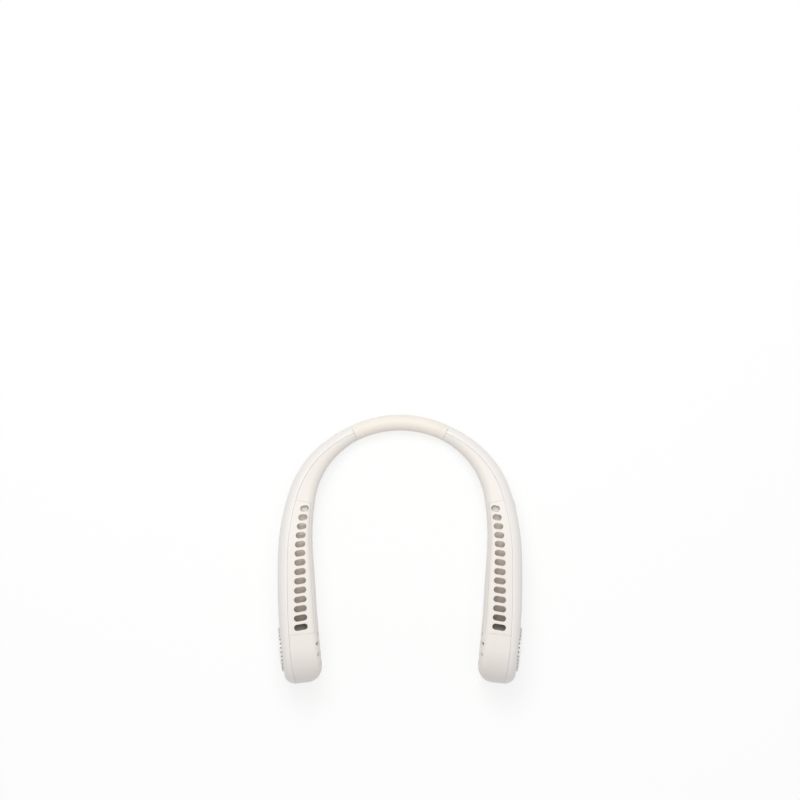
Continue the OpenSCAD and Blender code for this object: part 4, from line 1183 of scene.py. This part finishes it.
class NECKFAN_OT_band(NeckFanOperator, bpy.types.Operator):
    """Build the soft sleeve, its core and the cable, each as two halves"""
    bl_idname = "neckfan.band"
    bl_label = "Band"

    def execute(self, context):
        arm, size, finish = self.arm, context.scene.neck_fan_band, finishes()
        half = arm.size.band_half_len
        core_r = size.bore_r - size.cable_r - 2 * size.fit
        core_shift, cable_shift = size.bore_r - core_r - size.fit, size.fit + size.cable_r - size.bore_r
        parts = (
            ("band_sleeve", "sleeve", band_tube(arm, arm.size.band_r, 0, half, size)),
            ("band_core", "core", band_tube(arm, core_r, core_shift, half + size.grip)),
            ("link_cable", "cable",
             band_tube(arm, size.cable_r, cable_shift, half + size.grip + 2 * size.fit)))
        start = arm.at(BEND_MARGIN, 0, arm.size.band_r)
        end = arm.at(half - BEND_MARGIN, 0, arm.size.band_r)
        for name, slot, (points, faces) in parts:
            for word, sign in SIDES.items():
                piece = mesh_object(f"{name}_{word}_half", mirrored(points, sign), faces)
                piece.data.materials.append(finish[slot])
                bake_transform(piece)
                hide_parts(name)
        return {"FINISHED"}


class NECKFAN_OT_caps(NeckFanOperator, bpy.types.Operator):
    """Build the round cap outside each fan, on its boss, its ribs and a circle of small posts"""
    bl_idname = "neckfan.caps"
    bl_label = "Caps"

    def execute(self, context):
        arm, size = self.arm, context.scene.neck_fan_fan
        matrix, wall = arm.fan_matrix(), arm.size.half_w
        under = wall + size.cap_gap
        low, shoulder = under + size.cap_edge, under + size.cap_t - size.cap_rise
        flat_r = size.cap_r - size.cap_crown
        rim = arc(size.cap_edge, np.linspace(-math.pi / 2, 0, 7)) + [size.cap_r - size.cap_edge, low]
        rise = np.linspace(0, math.pi / 2, 14)[1:]
        crown = arc(1, rise) * [size.cap_crown, shoulder - low] + [flat_r, low]
        way = np.linspace(1, 0, 9)[1:-1]
        face = np.stack([way * flat_r, shoulder + size.cap_rise * (1 - way ** 2)], axis=-1)
        middle = [[TINY, shoulder + size.cap_rise]]
        boss = [[TINY, wall], [size.boss_r, wall], [size.boss_r, under + LAP], [TINY, under + LAP]]
        solids = [(placed(points, matrix), faces) for points, faces in (
            lathe(np.concatenate([[[TINY, under]], rim, crown, face, middle])), lathe(boss, 32))]
        half = size.rib_w / 2
        rib = np.array([[size.boss_r - LAP, -half], [size.rib_r - half / 2, -half], [size.rib_r, 0],
                        [size.rib_r - half / 2, half], [size.boss_r - LAP, half]])
        post = turned(stadium(size.post_w, size.post_t, 4), math.pi / 2) + [size.post_at, 0]
        for plan, count in ((rib, RIBS), (post, size.posts)):
            solids += [prism(turned(plan, angle), wall + SEAT, under + LAP, matrix)
                       for angle in whole_turn(count) + math.pi / count]
        points, faces = joined(solids)
        for word, sign in SIDES.items():
            piece = mesh_object(f"fan_cap_disc_{word}", mirrored(points, sign), faces)
            dress(piece, f"{word}_arm", "gloss_white", f"fan_cap_{word}", finish="spun_white")
        return {"FINISHED"}


# Inner end of the button: its stem and the flange that holds it behind the wall
STEM_R, STEM_END, FLANGE_T, FLANGE_W, FLANGE_GAP = np.array([1.4, 1.47, 0.8, 0.8, 0.5]) * MM
# Wall of the charging socket, once round it: [inset from its outer face, height above its mouth]
SOCKET_WALL = np.array([[0.35, 7.65], [0.35, 0.65], [0.3, 0.45], [0.15, 0.32], [0, 0.42], [0, 7.65]]) * MM


class NECKFAN_OT_controls(NeckFanOperator, bpy.types.Operator):
    """Build the power button, the charging socket's shell and the light pipe's domed end"""
    bl_idname = "neckfan.controls"
    bl_label = "Controls"

    def execute(self, context):
        arm, size = self.arm, context.scene.neck_fan_fan
        controls = Controls(arm, size)
        self.button(arm, size, controls)
        self.socket(size, controls)
        self.light(size, controls)
        return {"FINISHED"}

    def button(self, arm, size, controls):
        """A button turned from an outline: stem, flange, shaft and a dished face with a soft edge."""
        at, centre = controls.button_at, controls.centre
        wall = float((arm.at(at, arm.half_w(at), centre[2]) - centre) @ controls.axis)
        face, flange_top = wall + size.button_proud, wall - arm.size.wall - FLANGE_GAP
        flange_low = flange_top - FLANGE_T
        r, edge, flange_r = size.button_r, size.button_edge, size.button_r + FLANGE_W
        rim = arc(edge, np.linspace(0, math.pi / 2, 7)) + [r - edge, face - edge]
        dish = np.linspace(1, 0, 9)[1:-1]
        bowl = np.stack([(r - edge) * dish, face - size.button_dish * (1 - dish ** 2)], axis=-1)
        stem = [[TINY, STEM_END], [STEM_R, STEM_END], [STEM_R, flange_low]]
        flange = [[flange_r, flange_low], [flange_r, flange_top], [r, flange_top]]
        middle = [[TINY, face - size.button_dish]]
        points, faces = lathe(np.concatenate([stem, flange, rim, bowl, middle]), 72)
        piece = mesh_object("power_button_cap", placed(points, controls.button), faces)
        dress(piece, "button", "gloss_white", "power_button")

    def socket(self, size, controls):
        """A drawn steel sleeve with round ends and a rolled mouth."""
        rings = [level(stadium(size.socket_w - 2 * inset, size.socket_t - 2 * inset, SOCKET_STEPS), height)
                 for inset, height in SOCKET_WALL]
        points, faces = tube(np.stack(rings), looped=True)
        piece = mesh_object("charging_socket_sleeve", placed(points, controls.board), faces)
        dress(piece, "right_arm", "screw_steel", "charging_socket")

    def light(self, size, controls):
        """A clear rod, whose end is a dome that falls off with the square of the distance from its
        middle."""
        r, face = size.led_r - size.pipe_fit, size.pipe_fit
        share = np.linspace(1, 0, 8)[:-1]
        dome = np.stack([r * share, face + size.pipe_dome * share ** 2], axis=-1)
        top = face + size.pipe_len
        points, faces = lathe(np.concatenate([[[TINY, top], [r, top]], dome, [[TINY, face]]]), 48)
        piece = mesh_object("light_pipe_lens", placed(points, controls.light), faces)
        dress(piece, "right_arm", "clear", "light_pipe")


class NECKFAN_OT_inner_parts(NeckFanOperator, bpy.types.Operator):
    """Give every construction node that stays its own finish"""
    bl_idname = "neckfan.inner_parts"
    bl_label = "Inner parts"

    def execute(self, context):
        finish = finishes()
        slots = {part["node"]: part["material_slot"] for part in frame["record"]["subparts"]}
        for name, node in frame["nodes"].items():
            slot = slots.get(name)
            if slot is None:
                raise RuntimeError(f"{name} has no material slot")
            node.data.materials.clear()
            node.data.materials.append(finish[slot])
        return {"FINISHED"}


class NECKFAN_PT_panel(bpy.types.Panel):
    """Lists the steps that build the fan"""
    bl_idname = "NECKFAN_PT_panel"
    bl_label = "Neck Fan"
    bl_space_type = "VIEW_3D"
    bl_region_type = "UI"
    bl_category = "Neck Fan"

    def draw(self, context):
        for step in STEPS:
            self.layout.operator(step.bl_idname)


STEPS = (NECKFAN_OT_stage, NECKFAN_OT_shells, NECKFAN_OT_vents, NECKFAN_OT_band, NECKFAN_OT_caps,
         NECKFAN_OT_controls, NECKFAN_OT_inner_parts)
SETTINGS = {"neck_fan_arm": NECKFAN_PG_arm, "neck_fan_vents": NECKFAN_PG_vents,
            "neck_fan_fan": NECKFAN_PG_fan, "neck_fan_band": NECKFAN_PG_band,
            "neck_fan_colours": NECKFAN_PG_colours}
CLASSES = (*SETTINGS.values(), *STEPS, NECKFAN_PT_panel)


def register():
    for cls in CLASSES:
        bpy.utils.register_class(cls)
    for name, group in SETTINGS.items():
        setattr(bpy.types.Scene, name, PointerProperty(type=group))


def unregister():
    for name in SETTINGS:
        delattr(bpy.types.Scene, name)
    for cls in reversed(CLASSES):
        bpy.utils.unregister_class(cls)


def main():
    register()
    bpy.ops.neckfan.stage()
    bpy.ops.neckfan.shells()
    bpy.ops.neckfan.vents()
    bpy.ops.neckfan.band()
    bpy.ops.neckfan.caps()
    bpy.ops.neckfan.controls()
    bpy.ops.neckfan.inner_parts()


if __name__ == "__main__":
    main()
